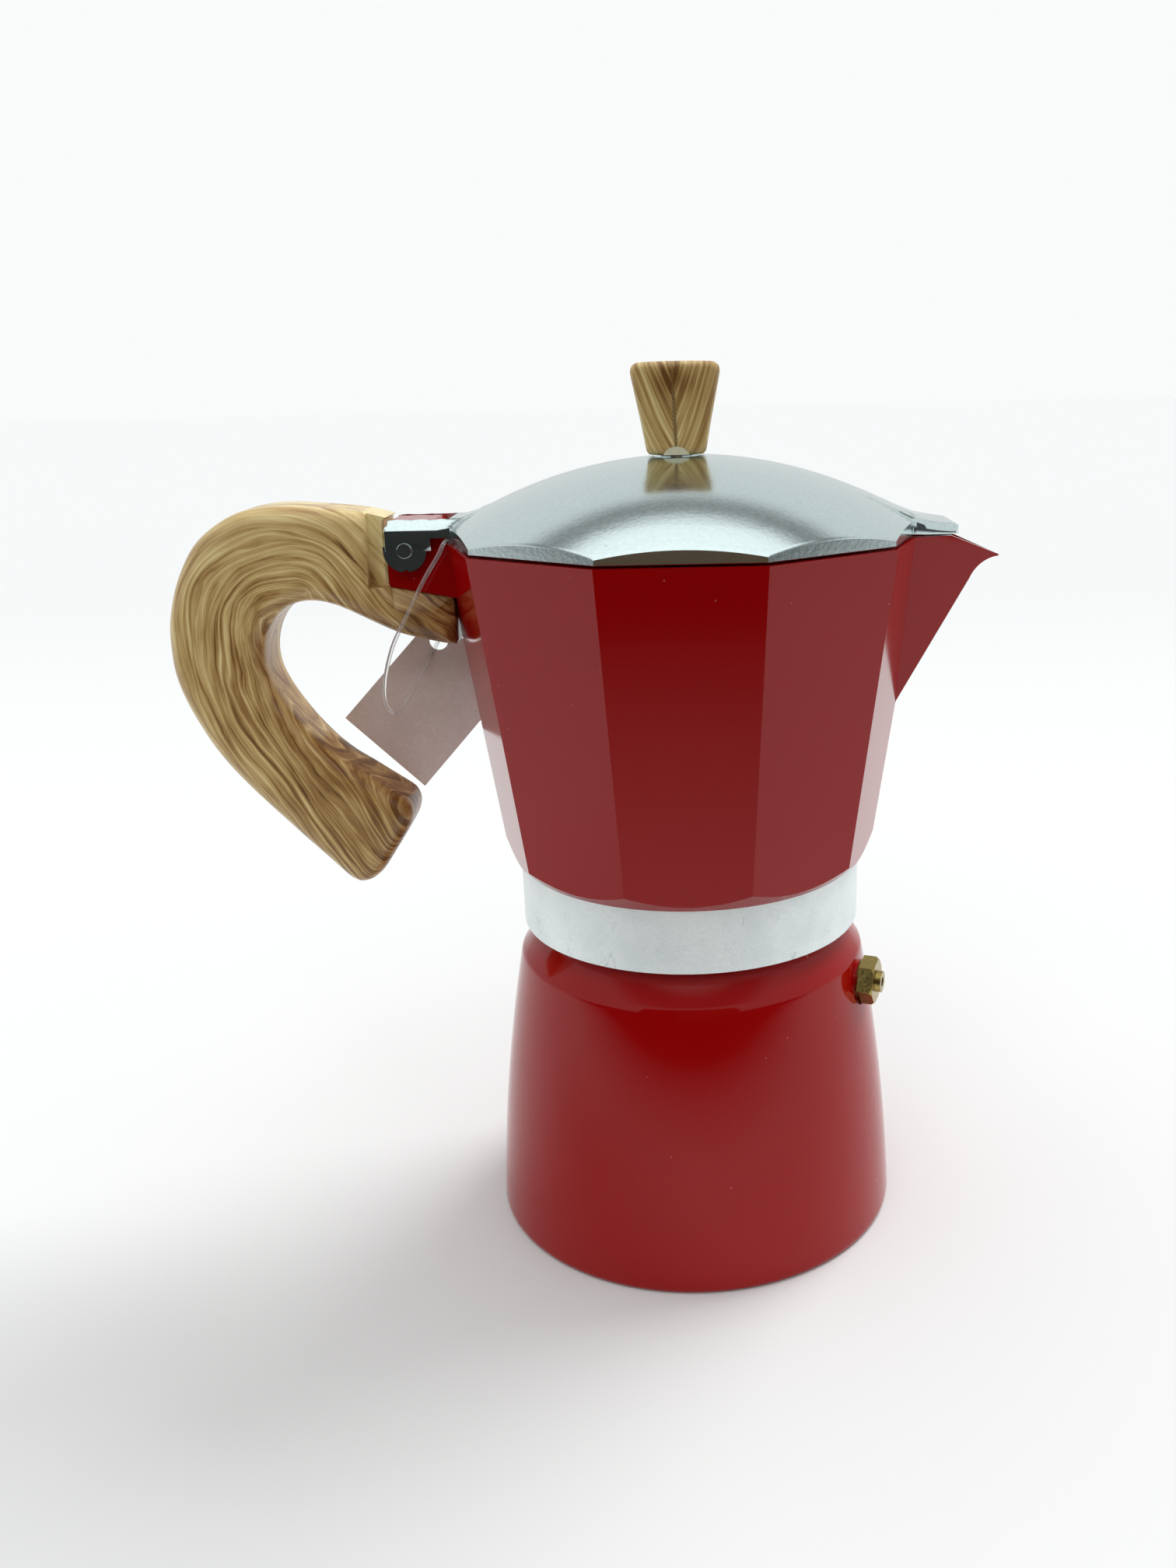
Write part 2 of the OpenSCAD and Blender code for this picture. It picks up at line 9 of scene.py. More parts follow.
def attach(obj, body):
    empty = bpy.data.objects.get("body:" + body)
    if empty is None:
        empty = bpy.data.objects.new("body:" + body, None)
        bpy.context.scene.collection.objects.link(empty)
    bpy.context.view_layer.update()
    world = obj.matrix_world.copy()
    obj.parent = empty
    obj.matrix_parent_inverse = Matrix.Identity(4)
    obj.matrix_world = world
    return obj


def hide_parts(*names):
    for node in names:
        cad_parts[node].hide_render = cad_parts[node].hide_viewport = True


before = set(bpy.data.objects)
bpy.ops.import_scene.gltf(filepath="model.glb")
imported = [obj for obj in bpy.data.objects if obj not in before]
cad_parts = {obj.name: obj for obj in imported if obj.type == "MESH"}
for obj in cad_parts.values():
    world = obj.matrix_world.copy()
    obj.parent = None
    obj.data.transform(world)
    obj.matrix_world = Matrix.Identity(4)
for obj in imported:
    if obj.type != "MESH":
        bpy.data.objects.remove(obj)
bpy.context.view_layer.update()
mm = 0.001
scene = bpy.context.scene

# main sizes of the pot in mm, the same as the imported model's
pot = {
    "rim": 54.0,
    "rimHeight": 162.2,
    "collarTop": 88.1,
    "shoulder": 65.0,
    "shoulderRadius": 40.8,
    "baseRadius": 48.2,
    "wall": 2.6,
    "domeRadius": 98.0,
    "domeTop": 179.8,
    "pinX": -60.8,
    "pinZ": 161.0,
}


# ---- shader helpers ----

def link(tree, source, target):
    tree.links.new(source, target)


def newNode(tree, kind, **values):
    node = tree.nodes.new(kind)
    for key, value in values.items():
        setattr(node, key, value)
    return node


def mathNode(tree, operation, first, second=None, clamp=False):
    node = newNode(tree, "ShaderNodeMath", operation=operation, use_clamp=clamp)
    for socket, value in zip(node.inputs, (first, second)):
        if value is None:
            continue
        if isinstance(value, (int, float)):
            socket.default_value = value
        else:
            link(tree, value, socket)
    return node.outputs[0]


def mixColour(tree, factor, first, second, blend="MIX"):
    node = newNode(tree, "ShaderNodeMix", data_type="RGBA", blend_type=blend)
    for socket, value in ((node.inputs[0], factor), (node.inputs[6], first),
                          (node.inputs[7], second)):
        if isinstance(value, (int, float)):
            socket.default_value = value
        elif isinstance(value, tuple):
            socket.default_value = (*value, 1)
        else:
            link(tree, value, socket)
    return node.outputs[2]


def rangeNode(tree, value, low, high, toLow=0.0, toHigh=1.0, smooth=False):
    node = newNode(tree, "ShaderNodeMapRange")
    node.interpolation_type = "SMOOTHSTEP" if smooth else "LINEAR"
    link(tree, value, node.inputs[0])
    for socket, number in zip(node.inputs[1:5], (low, high, toLow, toHigh)):
        socket.default_value = number
    return node.outputs[0]


def mixNumber(tree, factor, first, second):
    node = newNode(tree, "ShaderNodeMix", data_type="FLOAT")
    link(tree, factor, node.inputs[0])
    for socket, value in ((node.inputs[2], first), (node.inputs[3], second)):
        if isinstance(value, (int, float)):
            socket.default_value = value
        else:
            link(tree, value, socket)
    return node.outputs[0]


def rampNode(tree, value, stops):
    # colour ramp with a list of (place, colour) stops
    ramp = newNode(tree, "ShaderNodeValToRGB")
    marks = ramp.color_ramp.elements
    marks[0].position = stops[0][0]
    marks[1].position = stops[-1][0]
    for place, _ in stops[1:-1]:
        marks.new(place)
    for mark, (_, colour) in zip(marks, stops):
        mark.color = (*colour, 1)
    link(tree, value, ramp.inputs[0])
    return ramp.outputs[0]


# ---- camera and studio ----

cameraSettings = {
    "place": (3.29, -312.85, 199.80),
    "right": (0.99972, 0.01040, -0.02141),
    "up": (0.01767, 0.27850, 0.96027),
    "lens": 32.0,
    "shift": (-0.0584, -0.0131),
}


def addCamera(s):
    data = bpy.data.cameras.new("camera")
    data.sensor_width = 36
    data.lens = s["lens"]
    data.shift_x, data.shift_y = s["shift"]
    data.clip_start = 0.01
    data.dof.use_dof = False
    cam = bpy.data.objects.new("camera", data)
    right = Vector(s["right"]).normalized()
    up = Vector(s["up"])
    up = (up - right * up.dot(right)).normalized()
    back = right.cross(up)
    turn = Matrix((right, up, back)).transposed().to_4x4()
    cam.matrix_world = Matrix.Translation(Vector(s["place"]) * mm) @ turn
    scene.collection.objects.link(cam)
    scene.camera = cam
    return cam


# places in metres, brightness in linear light
studio = {
    "floorColour": (0.78, 0.79, 0.79),
    "farFloorColour": (0.712, 0.722, 0.722),
    "farFrom": 0.15,
    "farTo": 0.95,
    "darkColour": (0.012, 0.010, 0.010),
    "darkFrom": -0.36,
    "darkTo": -0.125,
    "floorHalf": 6.0,
    "skyColour": (0.985, 1.0, 1.0),
    "skySeen": 0.965,
    "skyLevels": ((0.0, 0.74), (0.69, 0.74), (0.75, 0.24), (0.80, 0.2), (0.85, 1.15),
                  (1.0, 1.25)),
    "skyScale": 2.0,
    "cards": (("brownCard", -0.13, 0.45, (0.15, 0.095, 0.058)),
              ("blackCard", -0.5, -0.13, (0.03, 0.03, 0.03))),
    "cardPlace": -0.8,
    "cardHeight": 0.75,
    "lamps": (("sun", (0.5, 0.45, 0.8), 1.65, 32.0), ("fill", (-0.12, -0.7, 0.7), 0.6, 40.0)),
}


def sunLamp(name, direction, strength, angle):
    data = bpy.data.lights.new(name, "SUN")
    data.energy = strength
    data.angle = math.radians(angle)
    lamp = bpy.data.objects.new(name, data)
    lamp.rotation_euler = Vector(direction).to_track_quat("Z", "Y").to_euler()
    lamp.visible_glossy = False
    scene.collection.objects.link(lamp)


def plainMesh(name, verts, faces):
    mesh = bpy.data.meshes.new(name)
    mesh.from_pydata([tuple(v) for v in verts], [], [tuple(f) for f in faces])
    mesh.update()
    obj = bpy.data.objects.new(name, mesh)
    scene.collection.objects.link(obj)
    return obj


def card(name, corners, colour, seen):
    obj = plainMesh(name, corners, [(0, 1, 2, 3)])
    mat = bpy.data.materials.new(name)
    mat.use_nodes = True
    shader = mat.node_tree.nodes["Principled BSDF"]
    shader.inputs["Base Color"].default_value = (*colour, 1)
    shader.inputs["Roughness"].default_value = 0.9
    shader.inputs["Specular IOR Level"].default_value = 0.1
    obj.data.materials.append(mat)
    obj.visible_camera = seen
    obj.visible_shadow = seen
    return obj


def shadeFloor(obj, s):
    # the side the pot mirrors falls away into the dark, while the floor itself stays pale
    tree = obj.data.materials[0].node_tree
    split = newNode(tree, "ShaderNodeSeparateXYZ")
    link(tree, newNode(tree, "ShaderNodeTexCoord").outputs["Object"], split.inputs[0])
    seen = newNode(tree, "ShaderNodeLightPath").outputs["Is Camera Ray"]
    near = rangeNode(tree, split.outputs[1], s["darkFrom"], s["darkTo"])
    # toward the back it matches the brightness of the backdrop
    far = rangeNode(tree, split.outputs[1], s["farFrom"], s["farTo"], smooth=True)
    ground = mixColour(tree, far, s["floorColour"], s["farFloorColour"])
    link(tree, mixColour(tree, mathNode(tree, "MAXIMUM", near, seen), s["darkColour"], ground),
         tree.nodes["Principled BSDF"].inputs["Base Color"])


def addStudio(s):
    world = bpy.data.worlds.new("studio")
    scene.world = world
    world.use_nodes = True
    tree = world.node_tree
    sky = tree.nodes["Background"]
    sky.inputs["Color"].default_value = (*s["skyColour"], 1)
    # sky brightness by height: even low down, a dim ring, then a bright ceiling
    split = newNode(tree, "ShaderNodeSeparateXYZ")
    link(tree, newNode(tree, "ShaderNodeTexCoord").outputs["Generated"], split.inputs[0])
    stops = [(place, (value / s["skyScale"],) * 3) for place, value in s["skyLevels"]]
    level = mathNode(tree, "MULTIPLY", rampNode(tree, split.outputs[2], stops), s["skyScale"])
    seen = newNode(tree, "ShaderNodeLightPath").outputs["Is Camera Ray"]
    link(tree, mixNumber(tree, seen, level, s["skySeen"]), sky.inputs["Strength"])
    h, y, top = s["floorHalf"], s["cardPlace"], s["cardHeight"]
    corners = [(-h, -h, 0), (h, -h, 0), (h, h, 0), (-h, h, 0)]
    floor = card("floor", corners, s["floorColour"], True)
    shadeFloor(floor, s)
    for name, left, right, colour in s["cards"]:
        corners = [(left, y, 0.0), (right, y, 0.0), (right, y, top), (left, y, top)]
        card(name, corners, colour, False)
    for name, direction, strength, angle in s["lamps"]:
        sunLamp(name, direction, strength, angle)
    scene.view_settings.view_transform = "Standard"


addCamera(cameraSettings)
addStudio(studio)
print("camera and studio ready")


# ---- materials ----

def groupTree(name, inputs, outputs):
    tree = bpy.data.node_groups.new(name, "ShaderNodeTree")
    for label, kind, value in inputs:
        socket = tree.interface.new_socket(name=label, in_out="INPUT", socket_type=kind)
        if value is not None:
            socket.default_value = value
    for label, kind in outputs:
        tree.interface.new_socket(name=label, in_out="OUTPUT", socket_type=kind)
    return tree, tree.nodes.new("NodeGroupInput"), tree.nodes.new("NodeGroupOutput")


def makeSpeckGroup():
    # small specks scattered over a surface, as a mask
    tree, start, end = groupTree(
        "specks",
        [("Vector", "NodeSocketVector", None), ("Scale", "NodeSocketFloat", 400.0),
         ("Amount", "NodeSocketFloat", 0.5), ("Size", "NodeSocketFloat", 0.12)],
        [("Mask", "NodeSocketFloat")])
    cells = newNode(tree, "ShaderNodeTexVoronoi", feature="F1")
    link(tree, start.outputs["Vector"], cells.inputs["Vector"])
    link(tree, start.outputs["Scale"], cells.inputs["Scale"])
    near = mathNode(tree, "LESS_THAN", cells.outputs["Distance"], start.outputs["Size"])
    split = newNode(tree, "ShaderNodeSeparateColor")
    link(tree, cells.outputs["Color"], split.inputs[0])
    chosen = mathNode(tree, "LESS_THAN", split.outputs[0], start.outputs["Amount"])
    link(tree, mathNode(tree, "MULTIPLY", near, chosen), end.inputs["Mask"])
    return tree


def makeUnevenGroup():
    # slow unevenness of a finish: a value round 1 and a height
    tree, start, end = groupTree(
        "uneven",
        [("Vector", "NodeSocketVector", None), ("Scale", "NodeSocketFloat", 40.0),
         ("Spread", "NodeSocketFloat", 0.2)],
        [("Value", "NodeSocketFloat"), ("Height", "NodeSocketFloat")])
    cloud = newNode(tree, "ShaderNodeTexNoise")
    cloud.inputs["Detail"].default_value = 4
    link(tree, start.outputs["Vector"], cloud.inputs["Vector"])
    link(tree, start.outputs["Scale"], cloud.inputs["Scale"])
    centred = mathNode(tree, "SUBTRACT", cloud.outputs[0], 0.5)
    spread = mathNode(tree, "MULTIPLY", centred, start.outputs["Spread"])
    link(tree, mathNode(tree, "ADD", spread, 1.0), end.inputs["Value"])
    link(tree, cloud.outputs[0], end.inputs["Height"])
    return tree


def makeStreakGroup():
    # fine lines drawn out along one direction, from a stretched noise
    tree, start, end = groupTree(
        "streaks",
        [("Vector", "NodeSocketVector", None), ("Stretch", "NodeSocketVector", (1.0, 1.0, 1.0)),
         ("Scale", "NodeSocketFloat", 600.0), ("Detail", "NodeSocketFloat", 3.0)],
        [("Value", "NodeSocketFloat")])
    stretch = newNode(tree, "ShaderNodeVectorMath", operation="MULTIPLY")
    link(tree, start.outputs["Vector"], stretch.inputs[0])
    link(tree, start.outputs["Stretch"], stretch.inputs[1])
    lines = newNode(tree, "ShaderNodeTexNoise")
    link(tree, stretch.outputs[0], lines.inputs["Vector"])
    link(tree, start.outputs["Scale"], lines.inputs["Scale"])
    link(tree, start.outputs["Detail"], lines.inputs["Detail"])
    link(tree, lines.outputs[0], end.inputs["Value"])
    return tree


def makeGrainGroup():
    # printed wood grain: Along runs with the grain, Across counts the rings
    tree, start, end = groupTree(
        "woodGrain",
        [("Along", "NodeSocketFloat", 0.0), ("Across", "NodeSocketFloat", 0.0),
         ("Depth", "NodeSocketFloat", 0.0), ("Rings", "NodeSocketFloat", 900.0),
         ("Wander", "NodeSocketFloat", 1.0)],
        [("Rings", "NodeSocketFloat"), ("Fine", "NodeSocketFloat"),
         ("Patch", "NodeSocketFloat")])
    place = newNode(tree, "ShaderNodeCombineXYZ")
    for label, axis in (("Along", 0), ("Across", 1), ("Depth", 2)):
        link(tree, start.outputs[label], place.inputs[axis])
    slow = newNode(tree, "ShaderNodeTexNoise")
    slow.inputs["Scale"].default_value = 45
    slow.inputs["Detail"].default_value = 3
    squeeze = newNode(tree, "ShaderNodeVectorMath", operation="MULTIPLY")
    squeeze.inputs[1].default_value = (0.45, 1.6, 1.0)
    link(tree, place.outputs[0], squeeze.inputs[0])
    link(tree, squeeze.outputs[0], slow.inputs["Vector"])
    sway = mathNode(tree, "MULTIPLY", mathNode(tree, "SUBTRACT", slow.outputs[0], 0.5), 0.016)
    sway = mathNode(tree, "MULTIPLY", sway, start.outputs["Wander"])
    moved = mathNode(tree, "ADD", start.outputs["Across"], sway)
    count = mathNode(tree, "MULTIPLY", moved, start.outputs["Rings"])
    lineNoise = newNode(tree, "ShaderNodeTexNoise")
    lineNoise.noise_dimensions = "1D"
    lineNoise.inputs["Scale"].default_value = 1.0
    lineNoise.inputs["Detail"].default_value = 3
    lineNoise.inputs["Roughness"].default_value = 0.7
    link(tree, count, lineNoise.inputs["W"])
    link(tree, lineNoise.outputs[0], end.inputs["Rings"])
    fine = newNode(tree, "ShaderNodeTexNoise")
    fine.inputs["Scale"].default_value = 700
    fine.inputs["Detail"].default_value = 4
    drawn = newNode(tree, "ShaderNodeVectorMath", operation="MULTIPLY")
    drawn.inputs[1].default_value = (0.12, 1.0, 0.5)
    moving = newNode(tree, "ShaderNodeCombineXYZ")
    link(tree, start.outputs["Along"], moving.inputs[0])
    link(tree, moved, moving.inputs[1])
    link(tree, start.outputs["Depth"], moving.inputs[2])
    link(tree, moving.outputs[0], drawn.inputs[0])
    link(tree, drawn.outputs[0], fine.inputs["Vector"])
    link(tree, fine.outputs[0], end.inputs["Fine"])
    patch = newNode(tree, "ShaderNodeTexNoise")
    patch.inputs["Scale"].default_value = 60
    patch.inputs["Detail"].default_value = 5
    link(tree, place.outputs[0], patch.inputs["Vector"])
    link(tree, patch.outputs[0], end.inputs["Patch"])
    return tree


specks = makeSpeckGroup()
uneven = makeUnevenGroup()
streaks = makeStreakGroup()
woodGrain = makeGrainGroup()


def useGroup(tree, group, **values):
    node = newNode(tree, "ShaderNodeGroup", node_tree=group)
    for label, value in values.items():
        if isinstance(value, (int, float, tuple)):
            node.inputs[label].default_value = value
        else:
            link(tree, value, node.inputs[label])
    return node


def startMaterial(name, **values):
    mat = bpy.data.materials.new(name)
    mat.use_nodes = True
    tree = mat.node_tree
    shader = tree.nodes["Principled BSDF"]
    for label, value in values.items():
        socket = shader.inputs[label.replace("_", " ")]
        socket.default_value = (*value, 1) if isinstance(value, tuple) else value
    where = newNode(tree, "ShaderNodeTexCoord").outputs["Object"]
    return mat, tree, shader, where


def addBump(tree, shader, height, strength, distance):
    bump = newNode(tree, "ShaderNodeBump")
    bump.inputs["Strength"].default_value = strength
    bump.inputs["Distance"].default_value = distance
    link(tree, height, bump.inputs["Height"])
    link(tree, bump.outputs[0], shader.inputs["Normal"])


def makeEnamel(name, roughness=0.09):
    # glossy red enamel; the attribute "bare" shows the machined aluminium under it
    mat, tree, shader, where = startMaterial(name, IOR=1.37)
    tone = useGroup(tree, uneven, Vector=where, Scale=18.0, Spread=0.5)
    tint = mixColour(tree, tone.outputs["Height"], (0.28, 0.0006, 0.001), (0.335, 0.002, 0.0024))
    dust = useGroup(tree, specks, Vector=where, Scale=230.0, Amount=0.03, Size=0.085)
    fine = useGroup(tree, specks, Vector=where, Scale=620.0, Amount=0.02, Size=0.13)
    dusty = mathNode(tree, "MAXIMUM", dust.outputs["Mask"], fine.outputs["Mask"])
    chips = useGroup(tree, specks, Vector=where, Scale=95.0, Amount=0.018, Size=0.05)
    painted = mixColour(tree, mathNode(tree, "MULTIPLY", dusty, 0.45), tint, (0.55, 0.16, 0.15))
    painted = mixColour(tree, chips.outputs["Mask"], painted, (0.04, 0.01, 0.01))
    ripple = newNode(tree, "ShaderNodeTexNoise")
    ripple.inputs["Scale"].default_value = 150
    ripple.inputs["Detail"].default_value = 1
    link(tree, where, ripple.inputs["Vector"])
    rough = mathNode(tree, "MULTIPLY", tone.outputs["Value"], roughness)
    bare = newNode(tree, "ShaderNodeAttribute", attribute_name="bare").outputs["Fac"]
    grit = useGroup(tree, streaks, Vector=where, Stretch=(1.0, 1.0, 1.6), Scale=1500.0,
                    Detail=4.0)
    cloud = useGroup(tree, uneven, Vector=where, Scale=110.0, Spread=0.5)
    metal = mixColour(tree, rangeNode(tree, grit.outputs[0], 0.3, 0.7), (0.84, 0.92, 0.92),
                      (0.96, 1.0, 1.0))
    metal = mixColour(tree, rangeNode(tree, cloud.outputs["Height"], 0.35, 0.7, 0.0, 0.35),
                      metal, (0.66, 0.74, 0.75))
    scratch = newNode(tree, "ShaderNodeTexVoronoi", feature="DISTANCE_TO_EDGE")
    scratch.inputs["Scale"].default_value = 75
    bend = useGroup(tree, uneven, Vector=where, Scale=160.0, Spread=1.0)
    crooked = newNode(tree, "ShaderNodeVectorMath", operation="SCALE")
    link(tree, where, crooked.inputs[0])
    link(tree, bend.outputs["Value"], crooked.inputs["Scale"])
    link(tree, crooked.outputs[0], scratch.inputs["Vector"])
    thin = rangeNode(tree, scratch.outputs["Distance"], 0.0, 0.012, 1.0, 0.0)
    broken = rangeNode(tree, bend.outputs["Height"], 0.56, 0.66)
    scar = mathNode(tree, "MULTIPLY", mathNode(tree, "MULTIPLY", thin, broken), 0.45)
    marks = mathNode(tree, "MAXIMUM", scar, mathNode(tree, "MULTIPLY", dusty, 0.4))
    metal = mixColour(tree, marks, metal, (0.22, 0.24, 0.24))
    link(tree, mixColour(tree, bare, painted, metal), shader.inputs["Base Color"])
    link(tree, mathNode(tree, "MULTIPLY", bare, 0.4), shader.inputs["Metallic"])
    metalRough = mathNode(tree, "MULTIPLY", cloud.outputs["Value"], 0.5)
    link(tree, mixNumber(tree, bare, rough, metalRough), shader.inputs["Roughness"])
    height = mixNumber(tree, bare, mathNode(tree, "MULTIPLY", ripple.outputs[0], 0.12),
                       grit.outputs[0])
    addBump(tree, shader, height, 0.14, 0.0003)
    return mat


def makeMetal(name, dark, light, roughness, stretch=(1.0, 1.0, 1.0), bump=0.05, scale=700.0,
              spread=0.3, stains=0.0):
    mat, tree, shader, where = startMaterial(name, Metallic=1.0)
    lines = useGroup(tree, streaks, Vector=where, Stretch=stretch, Scale=scale)
    cloud = useGroup(tree, uneven, Vector=where, Scale=45.0, Spread=spread)
    base = mixColour(tree, lines.outputs[0], dark, light)
    if stains:
        spots = useGroup(tree, specks, Vector=where, Scale=420.0, Amount=0.06, Size=0.14)
        base = mixColour(tree, mathNode(tree, "MULTIPLY", spots.outputs[0], stains), base,
                         tuple(0.35 * v for v in dark))
    link(tree, base, shader.inputs["Base Color"])
    varied = mathNode(tree, "MULTIPLY", cloud.outputs["Value"], roughness)
    extra = mathNode(tree, "MULTIPLY", lines.outputs[0], roughness * 0.35)
    link(tree, mathNode(tree, "ADD", varied, extra), shader.inputs["Roughness"])
    addBump(tree, shader, lines.outputs[0], bump, 0.0003)
    return mat


def makeWood(name, knobLike):
    # wood-grain print on smooth plastic, drawn along the "grain" attribute
    mat, tree, shader, _ = startMaterial(name, IOR=1.48, Coat_Weight=0.25,
                                         Coat_Roughness=0.12)
    lay = newNode(tree, "ShaderNodeAttribute", attribute_name="grain")
    axes = newNode(tree, "ShaderNodeSeparateXYZ")
    link(tree, lay.outputs["Vector"], axes.inputs[0])
    rings = 900.0 if knobLike else 1050.0
    grain = useGroup(tree, woodGrain, Along=axes.outputs[0], Across=axes.outputs[1],
                     Depth=axes.outputs[2], Rings=rings, Wander=0.35 if knobLike else 0.7)
    stops = ((0.33, (0.15, 0.062, 0.014)), (0.43, (0.33, 0.18, 0.056)),
             (0.51, (0.50, 0.325, 0.12)), (0.60, (0.68, 0.50, 0.215)),
             (0.72, (0.86, 0.72, 0.36)))
    mixed = mathNode(tree, "ADD", mathNode(tree, "MULTIPLY", grain.outputs["Rings"], 0.5),
                     mathNode(tree, "MULTIPLY", grain.outputs["Fine"], 0.5))
    # print tone, and on the handle painted light and shade as well
    printToneAndPaintedLight = newNode(tree, "ShaderNodeAttribute", attribute_name="printToneAndPaintedLight").outputs["Fac"]
    printed = rampNode(tree, mathNode(tree, "ADD", mixed, printToneAndPaintedLight), stops)
    flecks = rangeNode(tree, grain.outputs["Fine"], 0.34, 0.27)
    dark = rangeNode(tree, grain.outputs["Patch"], 0.46, 0.56)
    fleckMask = mathNode(tree, "MULTIPLY", mathNode(tree, "MULTIPLY", flecks, dark), 0.7)
    colour = mixColour(tree, fleckMask, printed, (0.07, 0.035, 0.012))
    if knobLike:
        seam = newNode(tree, "ShaderNodeAttribute", attribute_name="seam").outputs["Fac"]
        colour = mixColour(tree, seam, colour, (0.05, 0.022, 0.008))
    link(tree, colour, shader.inputs["Base Color"])
    link(tree, rangeNode(tree, grain.outputs["Fine"], 0.2, 0.8, 0.3, 0.42),
         shader.inputs["Roughness"])
    addBump(tree, shader, mixed, 0.12, 0.0003)
    return mat


def makePlain(name, colour, other, roughness, scale, **values):
    mat, tree, shader, where = startMaterial(name, **values)
    cloud = useGroup(tree, uneven, Vector=where, Scale=scale, Spread=0.5)
    fine = useGroup(tree, streaks, Vector=where, Scale=scale * 14)
    mixed = mathNode(tree, "MULTIPLY", cloud.outputs["Height"], fine.outputs[0])
    link(tree, mixColour(tree, rangeNode(tree, mixed, 0.1, 0.45), colour, other),
         shader.inputs["Base Color"])
    link(tree, mathNode(tree, "MULTIPLY", cloud.outputs["Value"], roughness),
         shader.inputs["Roughness"])
    addBump(tree, shader, fine.outputs[0], 0.1, 0.0002)
    return mat


materials = {
    "red_enamel": makeEnamel("redEnamel"),
    "polished_aluminium": makeMetal("polishedAluminium", (0.60, 0.72, 0.72),
                                    (0.76, 0.87, 0.87), 0.13, scale=1100.0, bump=0.045,
                                    stains=0.25),
    "satin_aluminium": makeMetal("satinAluminium", (0.62, 0.65, 0.66), (0.80, 0.82, 0.83), 0.32),
    "brass": makeMetal("brass", (0.24, 0.165, 0.035), (0.46, 0.36, 0.13), 0.2,
                       stretch=(0.5, 1.0, 1.0), bump=0.12, scale=1500.0, stains=0.35),
    "steel": makeMetal("steel", (0.46, 0.47, 0.49), (0.66, 0.67, 0.68), 0.3),
    "silicone": makePlain("silicone", (0.72, 0.70, 0.64), (0.80, 0.78, 0.73), 0.55, 60.0),
    "cream_plastic": makePlain("creamPlastic", (0.66, 0.62, 0.42), (0.75, 0.72, 0.55), 0.4, 90.0),
    "card": makePlain("card", (0.72, 0.62, 0.595), (0.84, 0.75, 0.725), 0.7, 120.0),
    "clear_nylon": makePlain("clearNylon", (0.9, 0.92, 0.93), (0.97, 0.98, 0.98), 0.12, 200.0,
                             Transmission_Weight=0.9, IOR=1.5),
    "wood_grain_plastic": makeWood("handleGrain", False),
}
knobGrain = makeWood("knobGrain", True)
print("materials ready:", len(materials) + 1)


# ---- shared tools for pieces ----

def cleanNormals(mesh):
    work = bmesh.new()
    work.from_mesh(mesh)
    bmesh.ops.remove_doubles(work, verts=work.verts, dist=1e-6)
    bmesh.ops.recalc_face_normals(work, faces=work.faces)
    work.to_mesh(mesh)
    work.free()


def smoothByAngle(mesh, degrees):
    mesh.shade_smooth()
    mesh.set_sharp_from_angle(angle=math.radians(degrees))


def applyModifiers(obj):
    bpy.context.view_layer.update()
    done = obj.evaluated_get(bpy.context.evaluated_depsgraph_get())
    mesh = bpy.data.meshes.new_from_object(done)
    obj.modifiers.clear()
    obj.data = mesh
    return obj


def cutOrJoin(obj, tool, operation):
    mod = obj.modifiers.new("shape", "BOOLEAN")
    mod.operation = operation
    mod.solver = "EXACT"
    mod.object = tool
    applyModifiers(obj)
    bpy.data.objects.remove(tool)
    return obj


def finishPiece(obj, body, slotName, nodes=(), material=None, angle=32, even=False):
    smoothByAngle(obj.data, angle)
    if even:
        evenNormals(obj)
    obj.data.materials.clear()
    obj.data.materials.append(material or materials[slotName])
    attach(obj, body)
    if nodes:
        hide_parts(*nodes)
    work = bmesh.new()
    work.from_mesh(obj.data)
    torn = sum(1 for e in work.edges if not e.is_manifold)
    print("piece", obj.name, len(work.faces), "faces, torn edges", torn,
          "volume", round(work.calc_volume(signed=True) * 1e6, 2))
    work.free()
    return obj


def copyNode(node, name, flat=0.6):
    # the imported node's shape with its triangles joined into whole faces
    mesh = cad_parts[node].data.copy()
    obj = bpy.data.objects.new(name, mesh)
    scene.collection.objects.link(obj)
    work = bmesh.new()
    work.from_mesh(mesh)
    bmesh.ops.remove_doubles(work, verts=work.verts, dist=1e-6)
    bmesh.ops.dissolve_limit(work, angle_limit=math.radians(flat), verts=work.verts,
                             edges=work.edges)
    work.to_mesh(mesh)
    work.free()
    return obj


def evenNormals(obj):
    # large faces keep their own direction and only the rounded edges blend
    mod = obj.modifiers.new("normals", "WEIGHTED_NORMAL")
    mod.mode = "FACE_AREA"
    mod.weight = 80
    mod.keep_sharp = True
    return applyModifiers(obj)


def softenEdges(obj, width, segments=2, angle=24):
    mod = obj.modifiers.new("edges", "BEVEL")
    mod.width = width * mm
    mod.segments = segments
    mod.limit_method = "ANGLE"
    mod.angle_limit = math.radians(angle)
    mod.harden_normals = False
    return applyModifiers(obj)


def smoothLine(points, steps, closed=True):
    # Catmull-Rom curve through 2D or 3D points
    pts = np.array(points, float)
    count = len(pts)
    out = []
    for i in range(count if closed else count - 1):
        if closed:
            a, b, c, d = (pts[(i + k) % count] for k in (-1, 0, 1, 2))
        else:
            a, b, c, d = (pts[min(max(i + k, 0), count - 1)] for k in (-1, 0, 1, 2))
        for k in range(steps):
            t = k / steps
            out.append(0.5 * (2 * b + (c - a) * t + (2 * a - 5 * b + 4 * c - d) * t * t
                              + (3 * b - a - 3 * c + d) * t ** 3))
    if not closed:
        out.append(pts[-1])
    return np.array(out)


